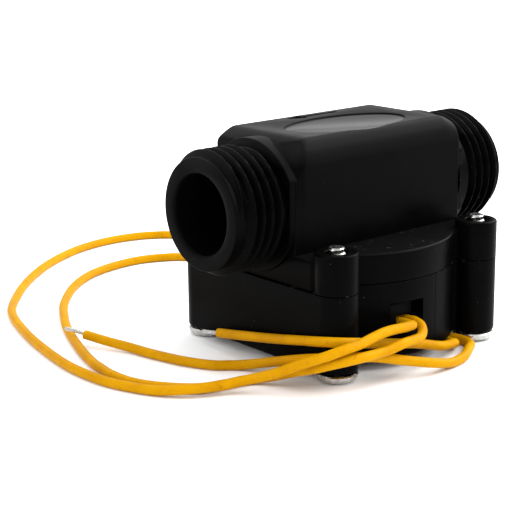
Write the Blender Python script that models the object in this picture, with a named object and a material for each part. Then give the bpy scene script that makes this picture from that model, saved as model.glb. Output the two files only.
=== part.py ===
"""A water flow sensor: a threaded pipe body over a round impeller housing, with two wires.

Units are metres and +Z is up. The pipe runs along X, and the impeller turns about Z at the origin.
The sensor stands on its four screw heads at Z = 0.
"""

import math

import bmesh
import bpy
from mathutils import Vector

# Clearances
GAP = 0.0003
SEAM_GAP = GAP
OVERLAP = 0.0005

# Pipe ends, with an outside pipe thread of nominal half inch
PIPE_LENGTH = 0.0622
PIPE_AXIS_Z = 0.027
PIPE_BORE_RADIUS = 0.00666
BORE_LEAD_IN = 0.0004
THREAD_MAJOR_RADIUS = 0.01048
THREAD_MINOR_RADIUS = 0.00932
THREAD_PITCH = 0.001814
THREAD_FIRST_CREST = 0.00137
THREAD_CREST_WIDTH = 0.0004
THREAD_ROOT_WIDTH = 0.0015
THREAD_FADE_TURNS = 0.15
THREAD_FACE_ROUND = 0.0003
NECK_RADIUS = 0.0092
NECK_LENGTH = 0.00086
COLLAR_RADIUS = 0.0113
COLLAR_REACH = 0.0016
COLLAR_EDGE_ROUND = 0.0002
COLLAR_HALF_WIDTH = 0.00975
BAFFLE_THICKNESS = 0.006

# Block between the pipe ends
BLOCK_LENGTH = 0.0388
BLOCK_WIDTH = 0.02
BLOCK_TOP_Z = 0.0387
BLOCK_NEAR_ROUND = 0.0022
BLOCK_NEAR_DROP = 0.0036
BLOCK_FAR_ROUND = 0.001
BLOCK_END_ROUND = 0.0036
BLOCK_END_DROP = 0.0022
BLOCK_CORNER_CUT = 0.00035

# Oval recess and flow arrow in the top of the block
OVAL_CENTRE_X = -0.0005
OVAL_CENTRE_Y = -0.0018
OVAL_HALF_LENGTH = 0.0127
OVAL_HALF_WIDTH = 0.0067
OVAL_DEPTH = 0.0003
ARROW_TIP_X = -0.0059
ARROW_HEAD_LENGTH = 0.0039
ARROW_END_X = 0.0059
ARROW_Y = 0.00745
ARROW_HEAD_WIDTH = 0.003
ARROW_SHAFT_WIDTH = 0.0009
ARROW_DEPTH = 0.0005

# Round drum that both mouldings share
DRUM_RADIUS = 0.02
DRUM_FLAT_X = 0.0198
DRUM_FLAT_END_Y = 0.0139
SEAM_Z = 0.0149
FLANGE_TOP_Z = 0.02
FLANGE_EDGE_ROUND = 0.001
HOUSING_BOTTOM_Z = 0.0018
HOUSING_EDGE_ROUND = 0.0005

# Screw bosses
BOSS_X = 0.0166
BOSS_Y = 0.0167
BOSS_RADIUS = 0.00362
LOWER_BOSS_RADIUS = 0.0036
BOSS_TOP_Z = 0.0216
BOSS_EDGE_ROUND = 0.0004

# Screws
SCREW_HEAD_RADIUS = 0.0036
SCREW_HEAD_FLAT_RADIUS = 0.0022
SCREW_HEAD_HEIGHT = HOUSING_BOTTOM_Z - GAP
SCREW_HEAD_CROWN = 0.0004
SCREW_HEAD_WALL = 0.0008
SCREW_HEAD_SHOULDER_RADIUS = 0.0031
SCREW_RADIUS = 0.0015
SCREW_TIP_Z = 0.0224
SCREW_TIP_RADIUS = 0.0012
SCREW_TIP_TAPER = 0.0004
SCREW_RECESS_LENGTH = 0.0038
SCREW_RECESS_WIDTH = 0.0009
SCREW_RECESS_DEPTH = 0.0011

# Wet chamber
CHAMBER_RADIUS = 0.0162
CHAMBER_ROOF_Z = 0.0178
WET_FLOOR_Z = 0.0128
PORT_CENTRE_X = 0.0105
PORT_CENTRE_Y = -0.0028
PORT_LENGTH = 0.006
PORT_WIDTH = 0.005

# Seal ring in the seam
SEAL_RADIUS = 0.0176
SEAL_CORD_RADIUS = 0.00055

# Impeller and what carries it
AXLE_RADIUS = 0.001
BEARING_RADIUS = 0.002
BEARING_LENGTH = 0.0016
BEARING_WALL = 0.0012
WASHER_THICKNESS = 0.0004
WASHER_RADIUS = 0.0026
HUB_RADIUS = 0.0029
IMPELLER_RADIUS = 0.0149
IMPELLER_DISC_THICKNESS = 0.0007
ROOF_RUNNING_GAP = 0.0005
BLADE_COUNT = 8
BLADE_THICKNESS = 0.0008
BLADE_SWEEP_DEG = 24.0
MAGNET_THICKNESS = 0.0026
MAGNET_HEIGHT = 0.0018

# Dry pocket, cover and electronics
PARTITION_THICKNESS = 0.0012
DRY_RADIUS = 0.015
COVER_SEAT_RADIUS = 0.0162
COVER_THICKNESS = 0.0015
COVER_EDGE_ROUND = 0.0003
POST_RADIUS = 0.0011
BOARD_Z = 0.0056
BOARD_THICKNESS = 0.001
BOARD_LENGTH = 0.018
BOARD_WIDTH = 0.012
BOARD_CENTRE_Y = 0.0005
POST_INSET = 0.0018
REED_RADIUS = 0.0009
REED_LENGTH = 0.0084
REED_LEAD_RADIUS = 0.0003
REED_LEAD_REACH = 0.0014
REED_LEAD_BEND = 0.0004
REED_Y = 0.0034

# Wire window and clamp
WINDOW_LEFT_X = -0.0066
WINDOW_RIGHT_X = 0.0002
WINDOW_TOP_Z = 0.0113
CLAMP_RIGHT_X = -0.001
CLAMP_LIP = 0.0009
CLAMP_RECESS = 0.0003

# Wires
WIRE_RADIUS = 0.00083
WIRE_EXIT_Z = 0.0075
WIRE_A_X = -0.0035
WIRE_B_X = -0.0016
CONDUCTOR_RADIUS = 0.00035
WIRE_START_INSET = 0.001
LEAD_ON_BOARD = 0.002
LEAD_SHIFT_X = 0.0012

# The free routes of the two wires after the window, chosen by hand
WIRE_A_ROUTE = [
    (-0.0039, -0.0213, 0.0076),
    (-0.0050, -0.0224, 0.0082),
    (-0.0070, -0.0230, 0.0084),
    (-0.0119, -0.0231, 0.0086),
    (-0.0176, -0.0233, 0.0079),
    (-0.0209, -0.0232, 0.0077),
    (-0.0237, -0.0222, 0.007),
    (-0.0266, -0.0191, 0.0055),
    (-0.0288, -0.0163, 0.004),
    (-0.0306, -0.0130, 0.0026),
    (-0.0331, -0.0111, 0.002),
    (-0.0354, -0.0098, 0.0016),
    (-0.0390, -0.0080, 0.0015),
    (-0.0427, -0.0039, 0.001),
    (-0.0452, 0.0014, 0.00083),
    (-0.0467, 0.0072, 0.00083),
    (-0.0469, 0.0158, 0.00083),
    (-0.0453, 0.0261, 0.00083),
    (-0.0426, 0.0371, 0.00083),
    (-0.0384, 0.0486, 0.00083),
    (-0.0327, 0.0567, 0.00083),
    (-0.0247, 0.0655, 0.00083),
    (-0.0150, 0.0736, 0.00083),
    (-0.0049, 0.0793, 0.00083),
    (0.0034, 0.0816, 0.00083),
    (0.0103, 0.0815, 0.00083),
    (0.0161, 0.0796, 0.00083),
    (0.0211, 0.0755, 0.00083),
    (0.0252, 0.0680, 0.00083),
    (0.0262, 0.0590, 0.00083),
    (0.0238, 0.0480, 0.00083),
    (0.0190, 0.0370, 0.00083),
    (0.0138, 0.0260, 0.00083),
    (0.0112, 0.0150, 0.00083),
    (0.0108, 0.0030, 0.00083),
    (0.0110, -0.0080, 0.00083),
    (0.0116, -0.0150, 0.00083),
    (0.0121, -0.0184, 0.00083),
    (0.0114, -0.0207, 0.00083),
    (0.0094, -0.0222, 0.00083),
    (0.0056, -0.0245, 0.00083),
    (0.0019, -0.0254, 0.0009),
    (-0.0021, -0.0258, 0.0018),
    (-0.0056, -0.0250, 0.0026),
    (-0.0104, -0.0234, 0.0038),
    (-0.0135, -0.0225, 0.0046),
    (-0.0165, -0.0216, 0.005),
    (-0.0199, -0.0205, 0.0053),
    (-0.0223, -0.0180, 0.0052),
    (-0.0232, -0.0150, 0.0045),
    (-0.0237, -0.0097, 0.0029),
    (-0.0245, -0.0048, 0.0014),
    (-0.0261, -0.0019, 0.00083),
    (-0.0286, 0.0004, 0.00083),
    (-0.0310, 0.0053, 0.00083),
    (-0.0327, 0.0116, 0.00083),
    (-0.0339, 0.0172, 0.001),
    (-0.0356, 0.0215, 0.0014),
    (-0.0370, 0.0260, 0.0018),
]
CONDUCTOR_A_ROUTE = [
    (-0.0372, 0.0263, 0.0020),
    (-0.0383, 0.0276, 0.0025),
    (-0.0395, 0.0287, 0.0028),
]
WIRE_B_ROUTE = [
    (-0.0017, -0.0213, 0.0072),
    (-0.0024, -0.0224, 0.0065),
    (-0.0040, -0.0233, 0.006),
    (-0.0060, -0.0237, 0.0061),
    (-0.0090, -0.0243, 0.0063),
    (-0.0127, -0.0241, 0.0058),
    (-0.0183, -0.0240, 0.0059),
    (-0.0226, -0.0220, 0.0053),
    (-0.0239, -0.0190, 0.0041),
    (-0.0246, -0.0156, 0.0029),
    (-0.0260, -0.0123, 0.0017),
    (-0.0284, -0.0092, 0.00083),
    (-0.0332, -0.0081, 0.00083),
    (-0.0374, -0.0066, 0.00083),
    (-0.0413, -0.0023, 0.00083),
    (-0.0435, 0.0024, 0.00083),
    (-0.0440, 0.0075, 0.00083),
    (-0.0435, 0.0115, 0.00083),
    (-0.0428, 0.0151, 0.00083),
    (-0.0406, 0.0221, 0.00083),
    (-0.0364, 0.0324, 0.00083),
    (-0.0327, 0.0395, 0.00083),
    (-0.0277, 0.0473, 0.00083),
    (-0.0202, 0.0556, 0.00083),
    (-0.0131, 0.0607, 0.00083),
    (-0.0063, 0.0632, 0.00083),
    (0.0007, 0.0638, 0.00083),
    (0.0062, 0.0622, 0.00083),
    (0.0105, 0.0591, 0.00083),
    (0.0138, 0.0530, 0.00083),
    (0.0142, 0.0450, 0.00083),
    (0.0120, 0.0340, 0.00083),
    (0.0095, 0.0240, 0.00083),
    (0.0088, 0.0130, 0.00083),
    (0.0088, 0.0010, 0.00083),
    (0.0090, -0.0100, 0.00083),
    (0.0097, -0.0150, 0.00083),
    (0.0098, -0.0170, 0.00083),
    (0.0092, -0.0189, 0.001),
    (0.0075, -0.0204, 0.0018),
    (0.0033, -0.0215, 0.0025),
    (-0.0032, -0.0216, 0.0044),
    (-0.0100, -0.0216, 0.0059),
    (-0.0160, -0.0215, 0.0073),
    (-0.0196, -0.0204, 0.0079),
    (-0.0213, -0.0174, 0.0077),
    (-0.0213, -0.0133, 0.0069),
    (-0.0213, -0.0074, 0.0057),
    (-0.0213, -0.0007, 0.0045),
    (-0.0214, 0.0078, 0.0031),
]
CONDUCTOR_B_ROUTE = [
    (-0.0214, 0.0081, 0.0030),
    (-0.0213, 0.0105, 0.0026),
    (-0.0211, 0.0128, 0.0022),
]

# Facets
PIPE_SIDES = 32
DRUM_ARC_STEPS = 12
CORNER_STEPS = 5
BLOCK_END_STEPS = 4
RIM_STEPS = 2
BOSS_SIDES = 20
ROUND_SIDES = 40
SMALL_SIDES = 14
SEAL_SIDES = 8
BLADE_STEPS = 5
REED_SIDES = 10
REED_END_STEPS = 3
WIRE_TURN_STEP_DEG = 16.0
WIRE_LONGEST_STEP = 0.009


def material(name, colour, roughness, metallic=0.0):
    made = bpy.data.materials.new(name)
    made.use_nodes = True
    shader = made.node_tree.nodes["Principled BSDF"]
    shader.inputs["Base Color"].default_value = (*colour, 1.0)
    shader.inputs["Roughness"].default_value = roughness
    shader.inputs["Metallic"].default_value = metallic
    return made


def add_object(name, bm, finish=None, smooth_deg=35.0):
    bmesh.ops.remove_doubles(bm, verts=bm.verts, dist=1e-7)
    bmesh.ops.recalc_face_normals(bm, faces=bm.faces)
    mesh = bpy.data.meshes.new(name)
    bm.to_mesh(mesh)
    bm.free()
    made = bpy.data.objects.new(name, mesh)
    bpy.context.scene.collection.objects.link(made)
    if finish is not None:
        mesh.materials.append(finish)
    mesh.shade_smooth()
    mesh.set_sharp_from_angle(angle=math.radians(smooth_deg))
    return made


def combine(target, tool, operation):
    """Cut or join the tool into the target for good, and remove the tool."""
    modifier = target.modifiers.new("combine", "BOOLEAN")
    modifier.operation = operation
    modifier.solver = "EXACT"
    modifier.object = tool
    graph = bpy.context.evaluated_depsgraph_get()
    mesh = bpy.data.meshes.new_from_object(target.evaluated_get(graph))
    target.modifiers.clear()
    target.data = mesh
    bpy.data.objects.remove(tool)
    mesh.shade_smooth()
    mesh.set_sharp_from_angle(angle=math.radians(35.0))


def cut(target, tool):
    combine(target, tool, "DIFFERENCE")


def join(target, tool):
    combine(target, tool, "UNION")


def loft(name, sections, finish=None):
    """Bridge rings with equal point counts, and cap both ends."""
    bm = bmesh.new()
    rings = [[bm.verts.new(point) for point in section] for section in sections]
    for first, second in zip(rings, rings[1:]):
        count = len(first)
        for i in range(count):
            j = (i + 1) % count
            bm.faces.new((first[i], first[j], second[j], second[i]))
    bm.faces.new(list(reversed(rings[0])))
    bm.faces.new(rings[-1])
    return add_object(name, bm, finish)


def prism(name, outline, bottom, top, finish=None):
    sections = [[(x, y, z) for x, y in outline] for z in (bottom, top)]
    return loft(name, sections, finish)


def box(name, x0, x1, y0, y1, z0, z1, finish=None):
    return prism(name, [(x0, y0), (x1, y0), (x1, y1), (x0, y1)], z0, z1, finish)


def circle(radius, sides, centre=(0.0, 0.0), start=0.0):
    angles = [start + 2.0 * math.pi * i / sides for i in range(sides)]
    return [(centre[0] + radius * math.cos(a), centre[1] + radius * math.sin(a)) for a in angles]


def turned(name, profile, sides, centre=(0.0, 0.0), finish=None):
    """A solid turned about Z from (radius, z) pairs, with flat ends."""
    sections = [[(x, y, z) for x, y in circle(r, sides, centre)] for r, z in profile]
    return loft(name, sections, finish)


def turned_ring(name, profile, sides, finish=None):
    """A ring turned about Z from a closed outline of (radius, z) pairs."""
    bm = bmesh.new()
    verts = [bm.verts.new((r, 0.0, z)) for r, z in profile]
    edges = [bm.edges.new((verts[i], verts[(i + 1) % len(verts)])) for i in range(len(verts))]
    bmesh.ops.spin(
        bm,
        geom=verts + edges,
        cent=(0.0, 0.0, 0.0),
        axis=(0.0, 0.0, 1.0),
        angle=2.0 * math.pi,
        steps=sides,
        use_merge=True,
        use_duplicate=False,
    )
    return add_object(name, bm, finish)


def turned_along_x(name, profile, sides, axis_z, finish=None):
    """A solid turned about the pipe's axis from (x, radius) pairs, with flat ends."""
    sections = [[(x, c, axis_z + s) for c, s in circle(r, sides)] for x, r in profile]
    return loft(name, sections, finish)


def drum_outline(inset=0.0):
    """Arcs about the origin on the near and far sides, flats on the left and right, bosses between."""
    radius = DRUM_RADIUS - inset
    flat_x = DRUM_FLAT_X - inset
    half = math.atan2(BOSS_X - BOSS_RADIUS, BOSS_Y)
    angles = [math.pi / 2.0 - half + 2.0 * half * i / DRUM_ARC_STEPS for i in range(DRUM_ARC_STEPS + 1)]
    far = [(radius * math.cos(a), radius * math.sin(a)) for a in angles]
    left = [(-BOSS_X, BOSS_Y - inset), (-flat_x, DRUM_FLAT_END_Y)]
    far_half = [(flat_x, DRUM_FLAT_END_Y), (BOSS_X, BOSS_Y - inset)] + far + left
    near_half = [(-x, -y) for x, y in far_half]
    return far_half + near_half


def boss_places():
    return [(-BOSS_X, -BOSS_Y), (BOSS_X, -BOSS_Y), (BOSS_X, BOSS_Y), (-BOSS_X, BOSS_Y)]


def rounded_rim(value, round_over, steps=RIM_STEPS):
    """Pairs of (inset, drop) along a quarter round, from the wall to the flat face."""
    pairs = []
    for i in range(steps + 1):
        angle = math.pi / 2.0 * i / steps
        pairs.append((value - round_over * (1.0 - math.cos(angle)), round_over * (1.0 - math.sin(angle))))
    return pairs


def drum_with_bosses(name, bottom, top, boss_bottom, boss_top, boss_radius, round_at_top, finish):
    """The shared drum shape, rounded at one end, with its four bosses joined on."""
    edge = FLANGE_EDGE_ROUND if round_at_top else HOUSING_EDGE_ROUND
    rim = rounded_rim(0.0, edge)
    if round_at_top:
        stations = [(0.0, bottom)] + [(-inset, top - drop) for inset, drop in rim]
    else:
        stations = [(-inset, bottom + drop) for inset, drop in reversed(rim)] + [(0.0, top)]
    body = loft(name, [[(x, y, z) for x, y in drum_outline(inset)] for inset, z in stations], finish)
    boss_rim = rounded_rim(boss_radius, BOSS_EDGE_ROUND)
    if round_at_top:
        profile = [(boss_radius, boss_bottom)] + [(r, boss_top - drop) for r, drop in boss_rim]
    else:
        profile = [(r, boss_bottom + drop) for r, drop in reversed(boss_rim)] + [(boss_radius, boss_top)]
    for place in boss_places():
        join(body, turned("boss", profile, BOSS_SIDES, place))
    return body


def block_section(x, half_width, top):
    """A section across the block at x, with a tall round on the near side and a small one on the far."""
    points = [(-half_width, CHAMBER_ROOF_Z + OVERLAP), (half_width, CHAMBER_ROOF_Z + OVERLAP)]
    for side, reach, drop, start in (
        (1.0, BLOCK_FAR_ROUND, BLOCK_FAR_ROUND, 0.0),
        (-1.0, BLOCK_NEAR_ROUND, BLOCK_NEAR_DROP, math.pi / 2.0),
    ):
        for i in range(CORNER_STEPS + 1):
            angle = start + math.pi / 2.0 * i / CORNER_STEPS
            y = side * (half_width - reach) + reach * math.cos(angle)
            points.append((y, top - drop + drop * math.sin(angle)))
    return [(x, y, z) for y, z in points]


def block(finish):
    """The block over the drum, rounded where its top meets its two ends."""
    sections = []
    for side in (-1.0, 1.0):
        stations = []
        for step in range(BLOCK_END_STEPS + 1):
            angle = math.pi / 2.0 * step / BLOCK_END_STEPS
            x = side * (BLOCK_LENGTH / 2.0 - BLOCK_END_ROUND * (1.0 - math.sin(angle)))
            top = BLOCK_TOP_Z - BLOCK_END_DROP * (1.0 - math.cos(angle))
            corner_cut = BLOCK_CORNER_CUT if step == BLOCK_END_STEPS else 0.0
            stations.append(block_section(x, BLOCK_WIDTH / 2.0 - corner_cut, top))
        sections += list(reversed(stations)) if side < 0.0 else stations
    return loft("upper_body", sections, finish)


def collar_end_x():
    return BLOCK_LENGTH / 2.0 + COLLAR_REACH


def thread_length():
    """From the first crest to where the plain neck in front of the collar begins."""
    return PIPE_LENGTH / 2.0 - THREAD_FIRST_CREST - collar_end_x() - NECK_LENGTH


def thread_ridge(side):
    """One helical ridge with a flat crest, faded in and out at its ends, rooted in the pipe wall."""
    bm = bmesh.new()
    turns = thread_length() / THREAD_PITCH
    steps = round(turns * PIPE_SIDES)
    root = THREAD_MINOR_RADIUS - OVERLAP
    start_x = PIPE_LENGTH / 2.0 - THREAD_FIRST_CREST
    half_root = THREAD_ROOT_WIDTH / 2.0
    half_crest = THREAD_CREST_WIDTH / 2.0
    rings = []
    for i in range(steps + 1):
        turn = i / PIPE_SIDES
        fade = min(1.0, turn / THREAD_FADE_TURNS, (turns - turn) / THREAD_FADE_TURNS)
        crest = THREAD_MINOR_RADIUS - OVERLAP / 2.0
        crest += (THREAD_MAJOR_RADIUS - crest) * max(fade, 0.0)
        x = start_x - THREAD_PITCH * turn
        angle = 2.0 * math.pi * turn
        outline = ((-half_root, root), (-half_crest, crest), (half_crest, crest), (half_root, root))
        ring = []
        for shift, radius in outline:
            y = side * radius * math.cos(angle)
            ring.append(bm.verts.new((side * (x + shift), y, PIPE_AXIS_Z + radius * math.sin(angle))))
        rings.append(ring)
    for first, second in zip(rings, rings[1:]):
        for i in range(4):
            j = (i + 1) % 4
            bm.faces.new((first[i], first[j], second[j], second[i]))
    bm.faces.new(rings[0])
    bm.faces.new(list(reversed(rings[-1])))
    return add_object("ridge", bm)


def pipe():
    """The plain pipe under both threads."""
    end = PIPE_LENGTH / 2.0
    root_end = end - THREAD_FIRST_CREST - thread_length()
    half = [
        (end, THREAD_MINOR_RADIUS - THREAD_FACE_ROUND),
        (end - THREAD_FACE_ROUND, THREAD_MINOR_RADIUS),
        (root_end, THREAD_MINOR_RADIUS),
        (root_end - THREAD_FACE_ROUND, NECK_RADIUS),
    ]
    profile = [(-x, r) for x, r in half] + list(reversed(half))
    return turned_along_x("pipe", profile, PIPE_SIDES, PIPE_AXIS_Z)


def collar(side):
    """A wide collar out of one end of the block, cut flat beside the block's two walls."""
    profile = [
        (side * (BLOCK_LENGTH / 2.0 - BLOCK_END_ROUND), COLLAR_RADIUS),
        (side * (collar_end_x() - COLLAR_EDGE_ROUND), COLLAR_RADIUS),
        (side * collar_end_x(), COLLAR_RADIUS - COLLAR_EDGE_ROUND),
    ]
    body = turned_along_x("collar", profile, PIPE_SIDES, PIPE_AXIS_Z)
    reach = COLLAR_RADIUS + OVERLAP
    low, high = PIPE_AXIS_Z - reach, PIPE_AXIS_Z + reach
    long = collar_end_x() + OVERLAP
    cut(body, box("flat", -long, long, COLLAR_HALF_WIDTH, reach, low, high))
    cut(body, box("flat", -long, long, -reach, -COLLAR_HALF_WIDTH, low, high))
    return body


def bore_cutter(side):
    """A blind bore with a small lead-in, from the pipe face to the wall in the middle."""
    end = PIPE_LENGTH / 2.0
    profile = [
        (side * BAFFLE_THICKNESS / 2.0, PIPE_BORE_RADIUS),
        (side * (end - BORE_LEAD_IN), PIPE_BORE_RADIUS),
        (side * (end + OVERLAP), PIPE_BORE_RADIUS + BORE_LEAD_IN + OVERLAP),
    ]
    if side < 0.0:
        profile.reverse()
    return turned_along_x("bore", profile, PIPE_SIDES, PIPE_AXIS_Z)


def oval_cutter():
    outline = []
    for x, y in circle(1.0, ROUND_SIDES):
        outline.append((OVAL_CENTRE_X + OVAL_HALF_LENGTH * x, OVAL_CENTRE_Y + OVAL_HALF_WIDTH * y))
    return prism("oval", outline, BLOCK_TOP_Z - OVAL_DEPTH, BLOCK_TOP_Z + OVERLAP)


def arrow_cutter():
    head_x = ARROW_TIP_X + ARROW_HEAD_LENGTH
    half = ARROW_SHAFT_WIDTH / 2.0
    outline = [
        (ARROW_TIP_X, ARROW_Y),
        (head_x, ARROW_Y - ARROW_HEAD_WIDTH / 2.0),
        (head_x, ARROW_Y - half),
        (ARROW_END_X, ARROW_Y - half),
        (ARROW_END_X, ARROW_Y + half),
        (head_x, ARROW_Y + half),
        (head_x, ARROW_Y + ARROW_HEAD_WIDTH / 2.0),
    ]
    return prism("arrow", outline, BLOCK_TOP_Z - ARROW_DEPTH, BLOCK_TOP_Z + OVERLAP)


def port_cutter(side):
    """A square port from one bore down into the chamber, on the near side of the impeller's axis."""
    x0 = side * PORT_CENTRE_X - PORT_LENGTH / 2.0
    y0 = PORT_CENTRE_Y - PORT_WIDTH / 2.0
    bottom = CHAMBER_ROOF_Z - OVERLAP
    return box("port", x0, x0 + PORT_LENGTH, y0, y0 + PORT_WIDTH, bottom, PIPE_AXIS_Z)


def upper_bearing_seat():
    """Blind hole in the chamber roof: it holds the upper bearing and the end of the axle."""
    return CHAMBER_ROOF_Z + GAP + BEARING_LENGTH + GAP


def make_upper_body(finish):
    body = block(finish)
    bottom = SEAM_Z + SEAM_GAP / 2.0
    flange = drum_with_bosses(
        "flange", bottom, FLANGE_TOP_Z, bottom, BOSS_TOP_Z, BOSS_RADIUS, True, finish
    )
    join(body, flange)
    for side in (-1.0, 1.0):
        join(body, collar(side))
    join(body, pipe())
    for side in (-1.0, 1.0):
        join(body, thread_ridge(side))
    for side in (-1.0, 1.0):
        cut(body, bore_cutter(side))
    chamber = [(CHAMBER_RADIUS, bottom - OVERLAP), (CHAMBER_RADIUS, CHAMBER_ROOF_Z)]
    cut(body, turned("chamber", chamber, ROUND_SIDES))
    for side in (-1.0, 1.0):
        cut(body, port_cutter(side))
    seat = [(BEARING_RADIUS + GAP, CHAMBER_ROOF_Z - OVERLAP), (BEARING_RADIUS + GAP, upper_bearing_seat())]
    cut(body, turned("seat", seat, SMALL_SIDES))
    hole = [(SCREW_RADIUS + GAP, bottom - OVERLAP), (SCREW_RADIUS + GAP, BOSS_TOP_Z + OVERLAP)]
    for place in boss_places():
        cut(body, turned("hole", hole, SMALL_SIDES, place))
    cut(body, oval_cutter())
    cut(body, arrow_cutter())
    return body


def dry_roof_z():
    return WET_FLOOR_Z - PARTITION_THICKNESS


def cover_top_z():
    return HOUSING_BOTTOM_Z + COVER_THICKNESS


def lower_seat_z():
    """Bottom of the blind hole that holds the lower bearing."""
    return WET_FLOOR_Z - GAP - BEARING_LENGTH - GAP


def window_sill_z():
    return WIRE_EXIT_Z - WIRE_RADIUS - GAP


def wire_start_y():
    """Where a free wire begins, inside the wire window."""
    return -DRUM_RADIUS + WIRE_START_INSET


def make_lower_housing(finish):
    top = SEAM_Z - SEAM_GAP / 2.0
    body = drum_with_bosses(
        "lower_housing", HOUSING_BOTTOM_Z, top, HOUSING_BOTTOM_Z, top, LOWER_BOSS_RADIUS, False, finish
    )
    wet = [(CHAMBER_RADIUS, WET_FLOOR_Z), (CHAMBER_RADIUS, top + OVERLAP)]
    cut(body, turned("wet", wet, ROUND_SIDES))
    dry = [
        (COVER_SEAT_RADIUS, HOUSING_BOTTOM_Z - OVERLAP),
        (COVER_SEAT_RADIUS, cover_top_z() + GAP),
        (DRY_RADIUS, cover_top_z() + GAP),
        (DRY_RADIUS, dry_roof_z()),
    ]
    cut(body, turned("dry", dry, ROUND_SIDES))
    seat_radius = BEARING_RADIUS + GAP
    boss_radius = seat_radius + BEARING_WALL
    boss = [(boss_radius, lower_seat_z() - BEARING_WALL), (boss_radius, WET_FLOOR_Z)]
    join(body, turned("boss", boss, BOSS_SIDES))
    seat = [(seat_radius, lower_seat_z()), (seat_radius, WET_FLOOR_Z + OVERLAP)]
    cut(body, turned("seat", seat, SMALL_SIDES))
    groove_half = SEAL_CORD_RADIUS + GAP
    groove_floor = top - 2.0 * SEAL_CORD_RADIUS - GAP + SEAM_GAP
    groove = [
        (SEAL_RADIUS - groove_half, groove_floor),
        (SEAL_RADIUS + groove_half, groove_floor),
        (SEAL_RADIUS + groove_half, top + OVERLAP),
        (SEAL_RADIUS - groove_half, top + OVERLAP),
    ]
    cut(body, turned_ring("groove", groove, ROUND_SIDES))
    hole = [(SCREW_RADIUS + GAP, HOUSING_BOTTOM_Z - OVERLAP), (SCREW_RADIUS + GAP, top + OVERLAP)]
    for place in boss_places():
        cut(body, turned("hole", hole, SMALL_SIDES, place))
    inner_y = -DRY_RADIUS + CLAMP_LIP + OVERLAP
    outer_y = -DRUM_RADIUS - OVERLAP
    window = box("window", WINDOW_LEFT_X, WINDOW_RIGHT_X, outer_y, inner_y, window_sill_z(), WINDOW_TOP_Z)
    cut(body, window)
    return body


def make_wire_clamp(finish):
    """A block over the wires, with a leg down to the sill, and a lip behind the housing wall."""
    corner_y = -math.sqrt(DRUM_RADIUS**2 - WINDOW_LEFT_X**2)
    front_y = corner_y + CLAMP_RECESS
    back_y = -DRY_RADIUS + CLAMP_LIP
    left = WINDOW_LEFT_X + GAP
    right = CLAMP_RIGHT_X
    over_wires = WIRE_EXIT_Z + WIRE_RADIUS + GAP
    top = WINDOW_TOP_Z - GAP
    body = box("wire_clamp", left, right, front_y, back_y, over_wires, top, finish)
    leg_right = WIRE_A_X - WIRE_RADIUS - GAP
    leg_bottom = window_sill_z() + GAP
    join(body, box("leg", left, leg_right, front_y, back_y, leg_bottom, over_wires + OVERLAP))
    return body


def make_seal_ring(finish):
    centre_z = SEAM_Z + SEAM_GAP / 2.0 - GAP - SEAL_CORD_RADIUS
    section = circle(SEAL_CORD_RADIUS, SEAL_SIDES, start=math.pi / SEAL_SIDES)
    profile = [(SEAL_RADIUS + y, centre_z + z) for y, z in section]
    return turned_ring("seal_ring", profile, ROUND_SIDES, finish)


def impeller_bottom_z():
    return WET_FLOOR_Z + GAP + WASHER_THICKNESS + GAP


def blade_outline(base):
    """A blade of even thickness that starts radially outside the magnet and sweeps back towards the rim."""
    start = HUB_RADIUS + GAP + MAGNET_THICKNESS + GAP
    length = IMPELLER_RADIUS - BLADE_THICKNESS - start
    sweep = math.radians(BLADE_SWEEP_DEG)
    front = []
    back = []
    for i in range(BLADE_STEPS + 1):
        share = i / BLADE_STEPS
        radius = start + length * share
        angle = base + sweep * share * share
        lean = angle + math.atan2(2.0 * sweep * share * radius, length)
        x = radius * math.cos(angle)
        y = radius * math.sin(angle)
        dx = -math.sin(lean) * BLADE_THICKNESS / 2.0
        dy = math.cos(lean) * BLADE_THICKNESS / 2.0
        front.append((x - dx, y - dy))
        back.append((x + dx, y + dy))
    return front + list(reversed(back))


def make_impeller(finish, parent):
    """Hub, thin disc and swept blades in one moulding, around a hole for the axle."""
    bottom = impeller_bottom_z()
    top = CHAMBER_ROOF_Z - ROOF_RUNNING_GAP
    disc_top = bottom + IMPELLER_DISC_THICKNESS
    profile = [
        (IMPELLER_RADIUS, bottom),
        (IMPELLER_RADIUS, disc_top),
        (HUB_RADIUS, disc_top),
        (HUB_RADIUS, top),
    ]
    body = turned("impeller", profile, ROUND_SIDES, finish=finish)
    for k in range(BLADE_COUNT):
        outline = blade_outline(2.0 * math.pi * k / BLADE_COUNT)
        join(body, prism("blade", outline, bottom + IMPELLER_DISC_THICKNESS / 2.0, top))
    hole = [(AXLE_RADIUS + GAP, bottom - OVERLAP), (AXLE_RADIUS + GAP, top + OVERLAP)]
    cut(body, turned("hole", hole, SMALL_SIDES))
    body.parent = parent
    return body


def make_magnet_ring(finish, parent):
    bottom = impeller_bottom_z() + IMPELLER_DISC_THICKNESS + GAP
    inner = HUB_RADIUS + GAP
    outer = inner + MAGNET_THICKNESS - GAP
    top = bottom + MAGNET_HEIGHT
    profile = [(inner, bottom), (outer, bottom), (outer, top), (inner, top)]
    body = turned_ring("magnet_ring", profile, BOSS_SIDES, finish)
    body.parent = parent
    return body


def make_axle(finish):
    bottom = lower_seat_z() + GAP
    top = upper_bearing_seat() - GAP
    return turned("axle", [(AXLE_RADIUS, bottom), (AXLE_RADIUS, top)], SMALL_SIDES, finish=finish)


def make_bearing(name, bottom, finish):
    inner = AXLE_RADIUS + GAP
    top = bottom + BEARING_LENGTH
    profile = [(inner, bottom), (BEARING_RADIUS, bottom), (BEARING_RADIUS, top), (inner, top)]
    return turned_ring(name, profile, SMALL_SIDES, finish)


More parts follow.
